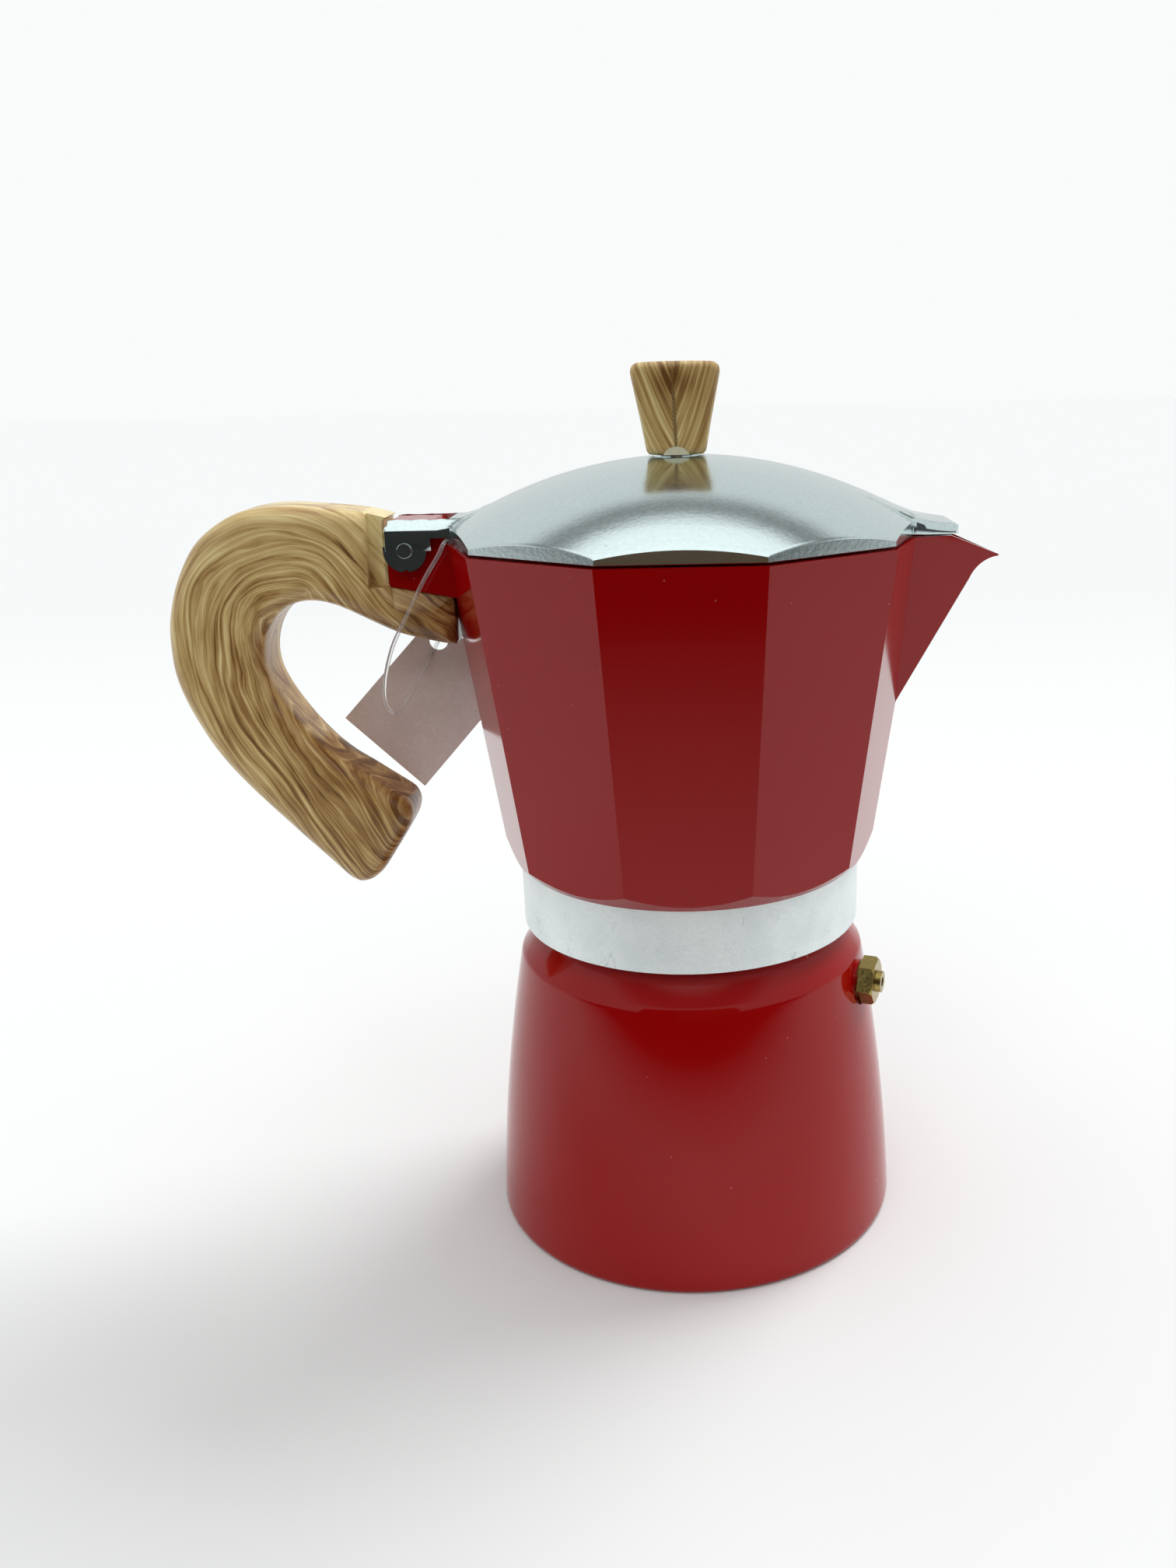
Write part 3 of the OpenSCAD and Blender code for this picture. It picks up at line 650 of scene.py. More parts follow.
def outlineGap(points, outline):
    # distance from each point to the nearest edge of a closed outline
    start = outline
    step = np.roll(outline, -1, axis=0) - outline
    size = np.maximum((step ** 2).sum(axis=1), 1e-12)
    best = np.full(len(points), 1e9)
    for first in range(0, len(points), 2000):
        part = points[first:first + 2000, None, :] - start[None]
        t = np.clip((part * step[None]).sum(axis=2) / size, 0, 1)
        gap = part - t[..., None] * step[None]
        best[first:first + 2000] = np.sqrt((gap ** 2).sum(axis=2).min(axis=1))
    return best


def roundedSlab(name, outline, half, radius, rings=6, grid=1.2, bulge=0.0):
    # a plate cut to an outline in X and Z; its thickness falls off in a quarter circle
    pts = np.array(outline, float)
    area = 0.5 * np.sum(pts[:, 0] * np.roll(pts[:, 1], -1) - np.roll(pts[:, 0], -1) * pts[:, 1])
    if area < 0:
        pts = pts[::-1]
    before = pts - np.roll(pts, 1, axis=0)
    after = np.roll(pts, -1, axis=0) - pts
    before /= np.linalg.norm(before, axis=1)[:, None]
    after /= np.linalg.norm(after, axis=1)[:, None]
    tangent = before + after
    tangent /= np.maximum(np.linalg.norm(tangent, axis=1)[:, None], 1e-6)
    inward = np.stack([-tangent[:, 1], tangent[:, 0]], axis=1)
    spots = []
    for i in range(1, rings + 1):
        inset = radius * (1 - math.cos(math.pi / 2 * i / rings))
        ring = pts + inward * inset
        good = outlineGap(ring, pts) > inset * 0.985
        spots.append(ring[good])
    low, high = pts.min(axis=0), pts.max(axis=0)
    lattice = np.array([(x + (0.5 * grid if row % 2 else 0), z)
                        for row, z in enumerate(np.arange(low[1], high[1], grid * 0.87))
                        for x in np.arange(low[0], high[0], grid)])
    spots.append(lattice[outlineGap(lattice, pts) > radius + 0.45 * grid])
    flat = np.vstack([pts] + spots)
    count = len(pts)
    edges = [(i, (i + 1) % count) for i in range(count)]
    made, _, faces, _, _, _ = geometry.delaunay_2d_cdt([Vector(p) for p in flat], edges, [], 1,
                                                       1e-4)
    made = np.array([tuple(p) for p in made])
    gap = outlineGap(made, pts)
    d = np.minimum(gap, radius)
    rise = half - radius + np.sqrt(np.maximum(radius ** 2 - (radius - d) ** 2, 0))
    rise = rise - bulge * np.clip(1 - gap / 7.0, 0, 1) ** 2
    number = len(made)
    verts = [(x, y, z) for side in (-1, 1) for (x, z), y in zip(made, side * rise)]
    front = [tuple(f) for f in faces]
    back = [tuple(i + number for i in f[::-1]) for f in faces]
    uses = {}
    for face in front:
        for i, j in zip(face, face[1:] + face[:1]):
            uses[(i, j)] = 1
    steps = 3
    bridge = []
    extra = {}

    def column(i):
        if i not in extra:
            x, z = made[i]
            y = rise[i]
            row = [i]
            for k in range(1, steps):
                verts.append((x, -y + 2 * y * k / steps, z))
                row.append(len(verts) - 1)
            extra[i] = row + [i + number]
        return extra[i]

    for i, j in uses:
        if (j, i) not in uses:
            left, right = column(i), column(j)
            for k in range(steps):
                bridge.append((left[k], left[k + 1], right[k + 1], right[k]))
    obj = plainMesh(name, [(x * mm, y * mm, z * mm) for x, y, z in verts],
                    front + back + bridge)
    cleanNormals(obj.data)
    return obj


def addAttribute(obj, name, kind, values):
    layer = obj.data.attributes.new(name, kind, "POINT")
    key = "vector" if kind == "FLOAT_VECTOR" else "value"
    layer.data.foreach_set(key, np.asarray(values, np.float32).ravel())


def vertexArray(obj):
    data = np.empty(len(obj.data.vertices) * 3, np.float32)
    obj.data.vertices.foreach_get("co", data)
    return data.reshape(-1, 3) / mm


def boxTool(low, high):
    (x0, y0, z0), (x1, y1, z1) = low, high
    corners = [(x, y, z) for x in (x0, x1) for y in (y0, y1) for z in (z0, z1)]
    faces = [(0, 1, 3, 2), (4, 6, 7, 5), (0, 4, 5, 1), (2, 3, 7, 6), (0, 2, 6, 4), (1, 5, 7, 3)]
    obj = plainMesh("tool", [tuple(v * mm for v in c) for c in corners], faces)
    cleanNormals(obj.data)
    return obj


def prismTool(points, y0, y1):
    # a prism on an outline in X and Z, from y0 to y1
    count = len(points)
    verts = [(x * mm, y * mm, z * mm) for y in (y0, y1) for x, z in points]
    faces = [tuple(range(count)), tuple(range(2 * count - 1, count - 1, -1))]
    faces += [(i, count + i, count + (i + 1) % count, (i + 1) % count) for i in range(count)]
    obj = plainMesh("tool", verts, faces)
    cleanNormals(obj.data)
    return obj


def circlePoints(x, z, radius, count, start=0.0, sweep=360.0):
    total = count if sweep == 360.0 else count - 1
    return [(x + radius * math.cos(math.radians(start + sweep * i / total)),
             z + radius * math.sin(math.radians(start + sweep * i / total)))
            for i in range(count)]


# ---- geometry node trees ----

def geometryTree(name, inputs):
    tree = bpy.data.node_groups.new(name, "GeometryNodeTree")
    tree.interface.new_socket(name="Geometry", in_out="OUTPUT", socket_type="NodeSocketGeometry")
    for label, kind, value in inputs:
        socket = tree.interface.new_socket(name=label, in_out="INPUT", socket_type=kind)
        if value is not None:
            socket.default_value = value
    return tree, tree.nodes.new("NodeGroupInput"), tree.nodes.new("NodeGroupOutput")


def endTree(tree, start, end, geometrySocket):
    realize = newNode(tree, "GeometryNodeRealizeInstances")
    paint = newNode(tree, "GeometryNodeSetMaterial")
    link(tree, geometrySocket, realize.inputs[0])
    link(tree, realize.outputs[0], paint.inputs[0])
    link(tree, start.outputs["Material"], paint.inputs["Material"])
    link(tree, paint.outputs[0], end.inputs[0])


def growPiece(name, tree, values, material):
    obj = plainMesh(name, [], [])
    mod = obj.modifiers.new("grow", "NODES")
    mod.node_group = tree
    ids = {item.name: item.identifier for item in tree.interface.items_tree
           if item.item_type == "SOCKET" and item.in_out == "INPUT"}
    for label, value in {**values, "Material": material}.items():
        mod[ids[label]] = value
    applyModifiers(obj)
    return obj


def makeTurnedTree():
    # a profile of radius and height turned round the Z axis
    tree, start, end = geometryTree("turned", [
        ("Profile", "NodeSocketObject", None), ("Segments", "NodeSocketInt", 192),
        ("Hub", "NodeSocketFloat", 0.001), ("Material", "NodeSocketMaterial", None)])
    profile = newNode(tree, "GeometryNodeObjectInfo", transform_space="ORIGINAL")
    ring = newNode(tree, "GeometryNodeCurvePrimitiveCircle", mode="RADIUS")
    sweep = newNode(tree, "GeometryNodeCurveToMesh")
    weld = newNode(tree, "GeometryNodeMergeByDistance")
    weld.inputs["Distance"].default_value = 2e-6
    link(tree, start.outputs["Profile"], profile.inputs[0])
    link(tree, start.outputs["Segments"], ring.inputs["Resolution"])
    link(tree, start.outputs["Hub"], ring.inputs["Radius"])
    link(tree, ring.outputs[0], sweep.inputs["Curve"])
    link(tree, profile.outputs["Geometry"], sweep.inputs["Profile Curve"])
    link(tree, sweep.outputs[0], weld.inputs[0])
    endTree(tree, start, end, weld.outputs[0])
    return tree


def makeThreadTree():
    # a rounded rib wound round the Z axis, as on a screw thread or a spring
    tree, start, end = geometryTree("thread", [
        ("Radius", "NodeSocketFloat", 0.03), ("Height", "NodeSocketFloat", 0.008),
        ("Turns", "NodeSocketFloat", 4.0), ("Rib", "NodeSocketFloat", 0.0005),
        ("Bottom", "NodeSocketFloat", 0.0), ("Material", "NodeSocketMaterial", None)])
    spiral = newNode(tree, "GeometryNodeCurveSpiral")
    spiral.inputs["Resolution"].default_value = 72
    rib = newNode(tree, "GeometryNodeCurvePrimitiveCircle", mode="RADIUS")
    rib.inputs["Resolution"].default_value = 8
    sweep = newNode(tree, "GeometryNodeCurveToMesh")
    sweep.inputs["Fill Caps"].default_value = True
    lift = newNode(tree, "GeometryNodeTransform")
    place = newNode(tree, "ShaderNodeCombineXYZ")
    link(tree, start.outputs["Radius"], spiral.inputs["Start Radius"])
    link(tree, start.outputs["Radius"], spiral.inputs["End Radius"])
    link(tree, start.outputs["Height"], spiral.inputs["Height"])
    link(tree, start.outputs["Turns"], spiral.inputs["Rotations"])
    link(tree, start.outputs["Rib"], rib.inputs["Radius"])
    link(tree, start.outputs["Bottom"], place.inputs[2])
    link(tree, spiral.outputs[0], sweep.inputs["Curve"])
    link(tree, rib.outputs[0], sweep.inputs["Profile Curve"])
    link(tree, sweep.outputs[0], lift.inputs[0])
    link(tree, place.outputs[0], lift.inputs["Translation"])
    endTree(tree, start, end, lift.outputs[0])
    return tree


def makeSieveTree():
    # a disc with staggered rows of holes
    tree, start, end = geometryTree("sieve", [
        ("Radius", "NodeSocketFloat", 0.029), ("Holed Radius", "NodeSocketFloat", 0.022),
        ("Pitch", "NodeSocketFloat", 0.0026), ("Hole", "NodeSocketFloat", 0.0006),
        ("Thickness", "NodeSocketFloat", 0.0008), ("Bottom", "NodeSocketFloat", 0.0),
        ("Centre Hole", "NodeSocketFloat", 0.0006), ("Material", "NodeSocketMaterial", None)])
    grid = newNode(tree, "GeometryNodeMeshGrid")
    grid.inputs["Vertices X"].default_value = 31
    grid.inputs["Vertices Y"].default_value = 31
    width = mathNode(tree, "MULTIPLY", start.outputs["Pitch"], 30.0)
    depth = mathNode(tree, "MULTIPLY", width, 0.866)
    link(tree, width, grid.inputs["Size X"])
    link(tree, depth, grid.inputs["Size Y"])
    index = newNode(tree, "GeometryNodeInputIndex")
    odd = mathNode(tree, "MODULO", index.outputs[0], 31.0)
    odd = mathNode(tree, "MODULO", odd, 2.0)
    half = mathNode(tree, "MULTIPLY", odd, mathNode(tree, "MULTIPLY",
                                                    start.outputs["Pitch"], 0.5))
    shift = newNode(tree, "ShaderNodeCombineXYZ")
    link(tree, half, shift.inputs[0])
    stagger = newNode(tree, "GeometryNodeSetPosition")
    link(tree, grid.outputs[0], stagger.inputs["Geometry"])
    link(tree, shift.outputs[0], stagger.inputs["Offset"])
    where = newNode(tree, "GeometryNodeInputPosition")
    reach = newNode(tree, "ShaderNodeVectorMath", operation="LENGTH")
    link(tree, where.outputs[0], reach.inputs[0])
    outside = newNode(tree, "FunctionNodeCompare", data_type="FLOAT", operation="GREATER_THAN")
    link(tree, reach.outputs["Value"], outside.inputs[0])
    link(tree, start.outputs["Holed Radius"], outside.inputs[1])
    trim = newNode(tree, "GeometryNodeDeleteGeometry", domain="POINT")
    link(tree, stagger.outputs[0], trim.inputs[0])
    link(tree, outside.outputs[0], trim.inputs[1])
    small = newNode(tree, "GeometryNodeCurvePrimitiveCircle", mode="RADIUS")
    small.inputs["Resolution"].default_value = 10
    link(tree, start.outputs["Hole"], small.inputs["Radius"])
    spread = newNode(tree, "GeometryNodeInstanceOnPoints")
    link(tree, trim.outputs[0], spread.inputs["Points"])
    link(tree, small.outputs[0], spread.inputs["Instance"])
    made = newNode(tree, "GeometryNodeRealizeInstances")
    link(tree, spread.outputs[0], made.inputs[0])
    rim = newNode(tree, "GeometryNodeCurvePrimitiveCircle", mode="RADIUS")
    rim.inputs["Resolution"].default_value = 96
    link(tree, start.outputs["Radius"], rim.inputs["Radius"])
    both = newNode(tree, "GeometryNodeJoinGeometry")
    link(tree, made.outputs[0], both.inputs[0])
    link(tree, rim.outputs[0], both.inputs[0])
    fill = newNode(tree, "GeometryNodeFillCurve")
    link(tree, both.outputs[0], fill.inputs[0])
    thick = newNode(tree, "GeometryNodeExtrudeMesh", mode="FACES")
    thick.inputs["Individual"].default_value = False
    up = newNode(tree, "ShaderNodeCombineXYZ")
    up.inputs[2].default_value = 1.0
    link(tree, fill.outputs[0], thick.inputs["Mesh"])
    link(tree, up.outputs[0], thick.inputs["Offset"])
    link(tree, start.outputs["Thickness"], thick.inputs["Offset Scale"])
    flip = newNode(tree, "GeometryNodeFlipFaces")
    link(tree, fill.outputs[0], flip.inputs[0])
    whole = newNode(tree, "GeometryNodeJoinGeometry")
    link(tree, flip.outputs[0], whole.inputs[0])
    link(tree, thick.outputs[0], whole.inputs[0])
    weld = newNode(tree, "GeometryNodeMergeByDistance")
    weld.inputs["Distance"].default_value = 1e-6
    link(tree, whole.outputs[0], weld.inputs[0])
    lift = newNode(tree, "GeometryNodeTransform")
    place = newNode(tree, "ShaderNodeCombineXYZ")
    link(tree, start.outputs["Bottom"], place.inputs[2])
    link(tree, weld.outputs[0], lift.inputs[0])
    link(tree, place.outputs[0], lift.inputs["Translation"])
    endTree(tree, start, end, lift.outputs[0])
    return tree


turnedTree = makeTurnedTree()
threadTree = makeThreadTree()
sieveTree = makeSieveTree()
hub = 1.0  # radius in mm of the ring that a turned profile is swept round


def turnedPiece(name, points, material, segments=192):
    data = bpy.data.curves.new("profile", "CURVE")
    data.dimensions = "3D"
    line = data.splines.new("POLY")
    line.points.add(len(points) - 1)
    for spot, (r, z) in zip(line.points, points):
        spot.co = ((r - hub) * mm, -z * mm, 0, 1)
    profile = bpy.data.objects.new("profile", data)
    scene.collection.objects.link(profile)
    obj = growPiece(name, turnedTree, {"Profile": profile, "Segments": segments,
                                       "Hub": hub * mm}, material)
    bpy.data.objects.remove(profile)
    cleanNormals(obj.data)
    return obj
print("trees ready")


# ---- boiler ----

boilerSettings = {
    "rows": 26,
    "valveTurn": -20.0,
    "valveHeight": 60.3,
    "valveFace": 41.7,
    "flatRadius": 5.9,
}


def wallRadius(z):
    t = z / pot["shoulder"]
    drop = pot["baseRadius"] - pot["shoulderRadius"]
    return pot["baseRadius"] - drop * (0.35 * t + 0.65 * t * t)


def makeBoiler(s):
    wall = pot["wall"]
    r0 = pot["baseRadius"]
    points = [(0, 0.25), (20, 0.25), (38, 0.25), (40.5, 0), (r0 - 1.6, 0)]
    for i in range(1, 6):
        a = math.radians(90 - 18 * i)
        points.append((wallRadius(1.4) - 1.4 + 1.4 * math.cos(a), 1.4 - 1.4 * math.sin(a)))
    rows = np.linspace(2.4, pot["shoulder"] - 0.7, s["rows"])
    points += [(wallRadius(z), z) for z in rows]
    ridge = pot["shoulderRadius"]
    points += [(ridge - 0.02, 65.0), (ridge - 0.12, 65.35), (ridge - 0.36, 65.75),
               (ridge - 0.75, 66.25), (36.6, 70.6), (35.9, 71.3), (35.2, 71.7), (34.4, 71.9),
               (30.0, 71.9), (29.75, 72.3), (29.7, 83.2), (29.2, 84.0), (27.0, 84.0),
               (26.6, 83.6), (26.6, 70.0)]
    points += [(wallRadius(z) - wall, z - 1) for z in np.linspace(65, 8, 14)]
    points += [(wallRadius(5) - wall - 0.8, 5.4), (wallRadius(4) - wall - 3.0, 4.05), (30, 4.0),
               (0, 4.0)]
    obj = turnedPiece("boilerBody", points, materials["red_enamel"], 224)
    turn = math.radians(s["valveTurn"])
    outward = Vector((math.cos(turn), math.sin(turn), 0))
    for radius, near, far, operation in ((s["flatRadius"], 0.0, 6.0, "DIFFERENCE"),
                                         (4.6, -3.5, 0.0, "UNION"),
                                         (3.66, -12.0, 4.0, "DIFFERENCE")):
        bpy.ops.mesh.primitive_cylinder_add(vertices=64, radius=radius * mm,
                                            depth=(far - near) * mm)
        tool = bpy.context.object
        middle = s["valveFace"] + (near + far) / 2
        spot = outward * middle * mm + Vector((0, 0, s["valveHeight"] * mm))
        tool.matrix_world = Matrix.Translation(spot) @ outward.to_track_quat(
            "Z", "X").to_matrix().to_4x4()
        cutOrJoin(obj, tool, operation)
    place = vertexArray(obj)
    radius = np.hypot(place[:, 0], place[:, 1])
    inside = radius < np.array([wallRadius(min(max(z, 0), 65)) - 1.6 for z in place[:, 2]])
    turn = math.radians(s["valveTurn"])
    aside = np.hypot(place[:, 0] * -math.sin(turn) + place[:, 1] * math.cos(turn),
                     place[:, 2] - s["valveHeight"])
    byValve = (aside < 7) & (place[:, 0] > 35) & (radius > 37.5)
    inside = inside & (place[:, 2] > 3.0) & (place[:, 2] < 64) & ~byValve
    inside = inside | ((place[:, 2] > 64) & (radius < 29))
    bare = (inside | (place[:, 2] > 72.2)).astype(float)
    addAttribute(obj, "bare", "FLOAT", bare)
    return finishPiece(obj, "base", "red_enamel", ["boiler"], angle=38)


makeBoiler(boilerSettings)

neckThread = growPiece("neckThread", threadTree,
                       {"Radius": 0.02975, "Height": 0.0092, "Turns": 5.0, "Rib": 0.0005,
                        "Bottom": 0.0732}, materials["satin_aluminium"])
finishPiece(neckThread, "base", "satin_aluminium", angle=60)


# ---- jug ----

jugSettings = {"edge": 0.45, "segments": 3}


def makeJug(s):
    obj = copyNode("collector", "jugBody", 0.4)
    softenEdges(obj, s["edge"], s["segments"], 20)
    cleanNormals(obj.data)
    apothem = math.cos(math.radians(18))
    centres = np.empty(len(obj.data.polygons) * 3, np.float32)
    obj.data.polygons.foreach_get("center", centres)
    centres = centres.reshape(-1, 3) / mm
    radius = np.hypot(centres[:, 0], centres[:, 1])
    z = centres[:, 2]
    face = (42.9 + (z - 88.1) * 0.1498) * apothem
    bare = (z < pot["collarTop"] + 0.15) | ((radius < face - 1.2) & (z < 161.9))
    layer = obj.data.attributes.new("bare", "FLOAT", "FACE")
    layer.data.foreach_set("value", bare.astype(np.float32))
    return finishPiece(obj, "jug", "red_enamel", ["collector"], angle=32, even=True)


makeJug(jugSettings)

collarThread = growPiece("collarThread", threadTree,
                         {"Radius": 0.03043, "Height": 0.0085, "Turns": 4.6, "Rib": 0.0004,
                          "Bottom": 0.0749}, materials["satin_aluminium"])
finishPiece(collarThread, "jug", "satin_aluminium", angle=60)


# ---- lid ----

lidSettings = {
    "corner": 53.3,
    "innerCorner": 51.4,
    "bottom": 162.7,
    "thickness": 1.6,
    "blend": 3.2,
    "edge": 0.4,
    "tab": [(0, 11.9), (49.6, 11.9), (58.8, 8.1), (59.6, 7.6), (60.1, 6.7), (60.2, 5.6)],
    "tongueHalf": 8.5,
    "tongueBack": -65.4,
    "tongueTop": 167.5,
    "tongueSide": 165.3,
    "tongueBottom": 160.9,
    "tongueFront": -52.7,
    "slotHalf": 6.0,
    "slotFront": -51.45,
}


def rayExit(polygon, angle):
    # farthest crossing of a ray from the centre with a polygon's edges
    d = np.array([math.cos(angle), math.sin(angle)])
    best = 0.0
    for p, q in zip(polygon, polygon[1:] + polygon[:1]):
        e = (q[0] - p[0], q[1] - p[1])
        det = d[0] * -e[1] + d[1] * e[0]
        if abs(det) < 1e-9:
            continue
        t = (p[0] * -e[1] + p[1] * e[0]) / det
        u = (d[0] * p[1] - d[1] * p[0]) / det
        if t > 0 and -1e-9 <= u <= 1 + 1e-9:
            best = max(best, t)
    return best


def softMax(a, b, width):
    h = np.maximum(width - np.abs(a - b), 0) / width
    return np.maximum(a, b) + h * h * width * 0.25


def lidTop(x, y, s):
    r = np.hypot(x, y)
    centre = pot["domeTop"] - pot["domeRadius"]
    dome = centre + np.sqrt(np.maximum(pot["domeRadius"] ** 2 - r ** 2, 1))
    tabHalf = np.interp(x, [49.6, 60.2], [11.9, 7.6])
    tab = np.interp(x, [40, 49.6, 59.0, 60.2], [168.8, 165.7, 164.5, 164.0])
    tab = tab - 2.5 * np.maximum(np.abs(y) - tabHalf + 0.6, 0) - np.where(x < 36, 40, 0)
    tongue = np.minimum(s["tongueTop"], s["tongueSide"] + (s["tongueHalf"] - np.abs(y)) * 0.88)
    tongue = np.minimum(tongue, s["tongueSide"] + (x - s["tongueBack"]) * 2.0)
    tongue = tongue - 3.0 * np.maximum(np.abs(y) - s["tongueHalf"], 0)
    tongue = tongue - np.where(x > -38, 40, 0)
    return softMax(softMax(dome, tab, s["blend"]), tongue, s["blend"] * 0.6)


def makeLid(s):
    decagon = [(s["corner"] * math.cos(math.radians(36 * i)),
                s["corner"] * math.sin(math.radians(36 * i))) for i in range(10)]
    innerDecagon = [(p[0] * s["innerCorner"] / s["corner"], p[1] * s["innerCorner"] / s["corner"])
                    for p in decagon]
    tab = s["tab"] + [(x, -y) for x, y in s["tab"][::-1]]
    h, back = s["tongueHalf"], s["tongueBack"]
    tongue = [(0, -h), (0, h), (back + 0.5, h), (back, h - 0.5), (back, 0.5 - h),
              (back + 0.5, -h)]
    angles = set(round(a, 6) for a in np.linspace(0, 2 * math.pi, 720, endpoint=False))
    for polygon in (decagon, tab, tongue):
        for x, y in polygon:
            if math.hypot(x, y) > 40:
                angles.add(round(math.atan2(y, x) % (2 * math.pi), 6))
    rootY = 8.5
    angles.add(round(math.atan2(rootY, -50.6), 6))
    angles.add(round(math.atan2(-rootY, -50.6) % (2 * math.pi), 6))
    angles = sorted(angles)
    polys = (decagon, tab, tongue)
    reach = np.array([max(rayExit(p, a) for p in polys) for a in angles])
    innerReach = np.array([min(rayExit(innerDecagon, a), 51.3) for a in angles])
    ca, sa = np.cos(angles), np.sin(angles)
    count = len(angles)
    centre = pot["domeTop"] - pot["domeRadius"]
    innerRadius = pot["domeRadius"] - s["thickness"]
    bottom = np.full(count, s["bottom"])
    outX = reach * ca
    bottom = np.where(outX > 49.6, s["bottom"] - 0.5 * (outX - 49.6) / 10.6, bottom)
    isTongue = outX < s["tongueFront"] - 1.3
    bottom = np.where(isTongue, s["tongueBottom"], bottom)
    stepReach = np.where(isTongue, s["tongueFront"] / np.minimum(ca, -0.5), reach - 0.25)
    rings = []

    def ring(radius, height):
        rings.append(np.stack([radius * ca, radius * sa, height], axis=1))

    edge = s["edge"]
    fractions = list(np.linspace(0, 0.86, 16)[1:]) + list(np.linspace(0.87, 0.985, 14))
    for f in fractions:
        r = reach * f
        ring(r, lidTop(r * ca, r * sa, s))
    topEdge = lidTop(reach * ca, reach * sa, s)
    ring(reach - edge, lidTop((reach - edge) * ca, (reach - edge) * sa, s))
    ring(reach - edge * 0.3, topEdge - edge * 0.12)
    ring(reach, topEdge - edge * 0.5)
    ring(reach, (topEdge - edge * 0.5 + bottom + 0.15) / 2)
    ring(reach, bottom + 0.15)
    ring(reach - 0.15, bottom)
    ring(stepReach, bottom)
    ring(stepReach - 0.02, np.full(count, s["bottom"]) * isTongue + bottom * (1 - isTongue))
    ring(innerReach + 0.05, np.full(count, s["bottom"]))
    inner = innerRadius * np.ones(count)
    ring(innerReach, np.full(count, s["bottom"] + 0.02))
    under = centre + np.sqrt(inner ** 2 - innerReach ** 2)
    ring(innerReach, np.maximum(under, s["bottom"] + 0.04))
    for f in (0.9, 0.75, 0.6, 0.45, 0.3, 0.15):
        r = innerReach * f
        ring(r, centre + np.sqrt(inner ** 2 - r ** 2))
    verts = [(0, 0, pot["domeTop"])]
    for rows in rings:
        verts.extend(map(tuple, rows))
    verts.append((0, 0, centre + innerRadius))
    last = len(verts) - 1
    faces = []
    for i in range(count):
        j = (i + 1) % count
        faces.append((0, 1 + i, 1 + j))
        for k in range(len(rings) - 1):
            a, b = 1 + k * count, 1 + (k + 1) * count
            faces.append((a + i, b + i, b + j, a + j))
        a = 1 + (len(rings) - 1) * count
        faces.append((last, a + j, a + i))
    obj = plainMesh("lidBody", [(x * mm, y * mm, z * mm) for x, y, z in verts], faces)
    cleanNormals(obj.data)
    pinX, pinZ = pot["pinX"], pot["pinZ"]
    slotFront = s["slotFront"]
    slot = prismTool([(-75, 150), (slotFront, 150), (slotFront, 165.9), (slotFront + 0.9, 168.5),
                      (slotFront + 0.9, 172), (-75, 172)], -s["slotHalf"], s["slotHalf"])
    cutOrJoin(obj, slot, "DIFFERENCE")
    cutOrJoin(obj, boxTool((-55, -12.2, 158), (-48, 12.2, 163.6)), "DIFFERENCE")
    ear = circlePoints(pinX, pinZ, 4.75, 41, 180, 180)
    ear = ([(pinX + 4.75, pinZ + 0.9)] + [(pinX - 4.75, pinZ + 0.9)]
           + ear[:19] + [(pinX - 0.35, pinZ - 4.35), (pinX, pinZ - 4.2), (pinX + 0.35, pinZ - 4.35)]
           + ear[22:])
    for side in (-1, 1):
        y0, y1 = sorted((side * s["slotHalf"], side * (s["tongueHalf"] - 0.18)))
        cutOrJoin(obj, prismTool(ear, y0, y1), "UNION")
    bpy.ops.mesh.primitive_cylinder_add(vertices=64, radius=5 * mm, depth=3.1 * mm,
                                        location=(-1 * mm, 0, 178.35 * mm))
    tool = bpy.context.object
    cutOrJoin(obj, tool, "UNION")
    cutOrJoin(obj, prismTool(circlePoints(pinX, pinZ, 1.36, 32), -12, 12), "DIFFERENCE")
    bpy.ops.mesh.primitive_cylinder_add(vertices=32, radius=2.1 * mm, depth=12 * mm,
                                        location=(-1 * mm, 0, 178 * mm))
    cutOrJoin(obj, bpy.context.object, "DIFFERENCE")
    cleanNormals(obj.data)
    return finishPiece(obj, "cover", "polished_aluminium", ["lid"], angle=30)


makeLid(lidSettings)


# ---- handle ----

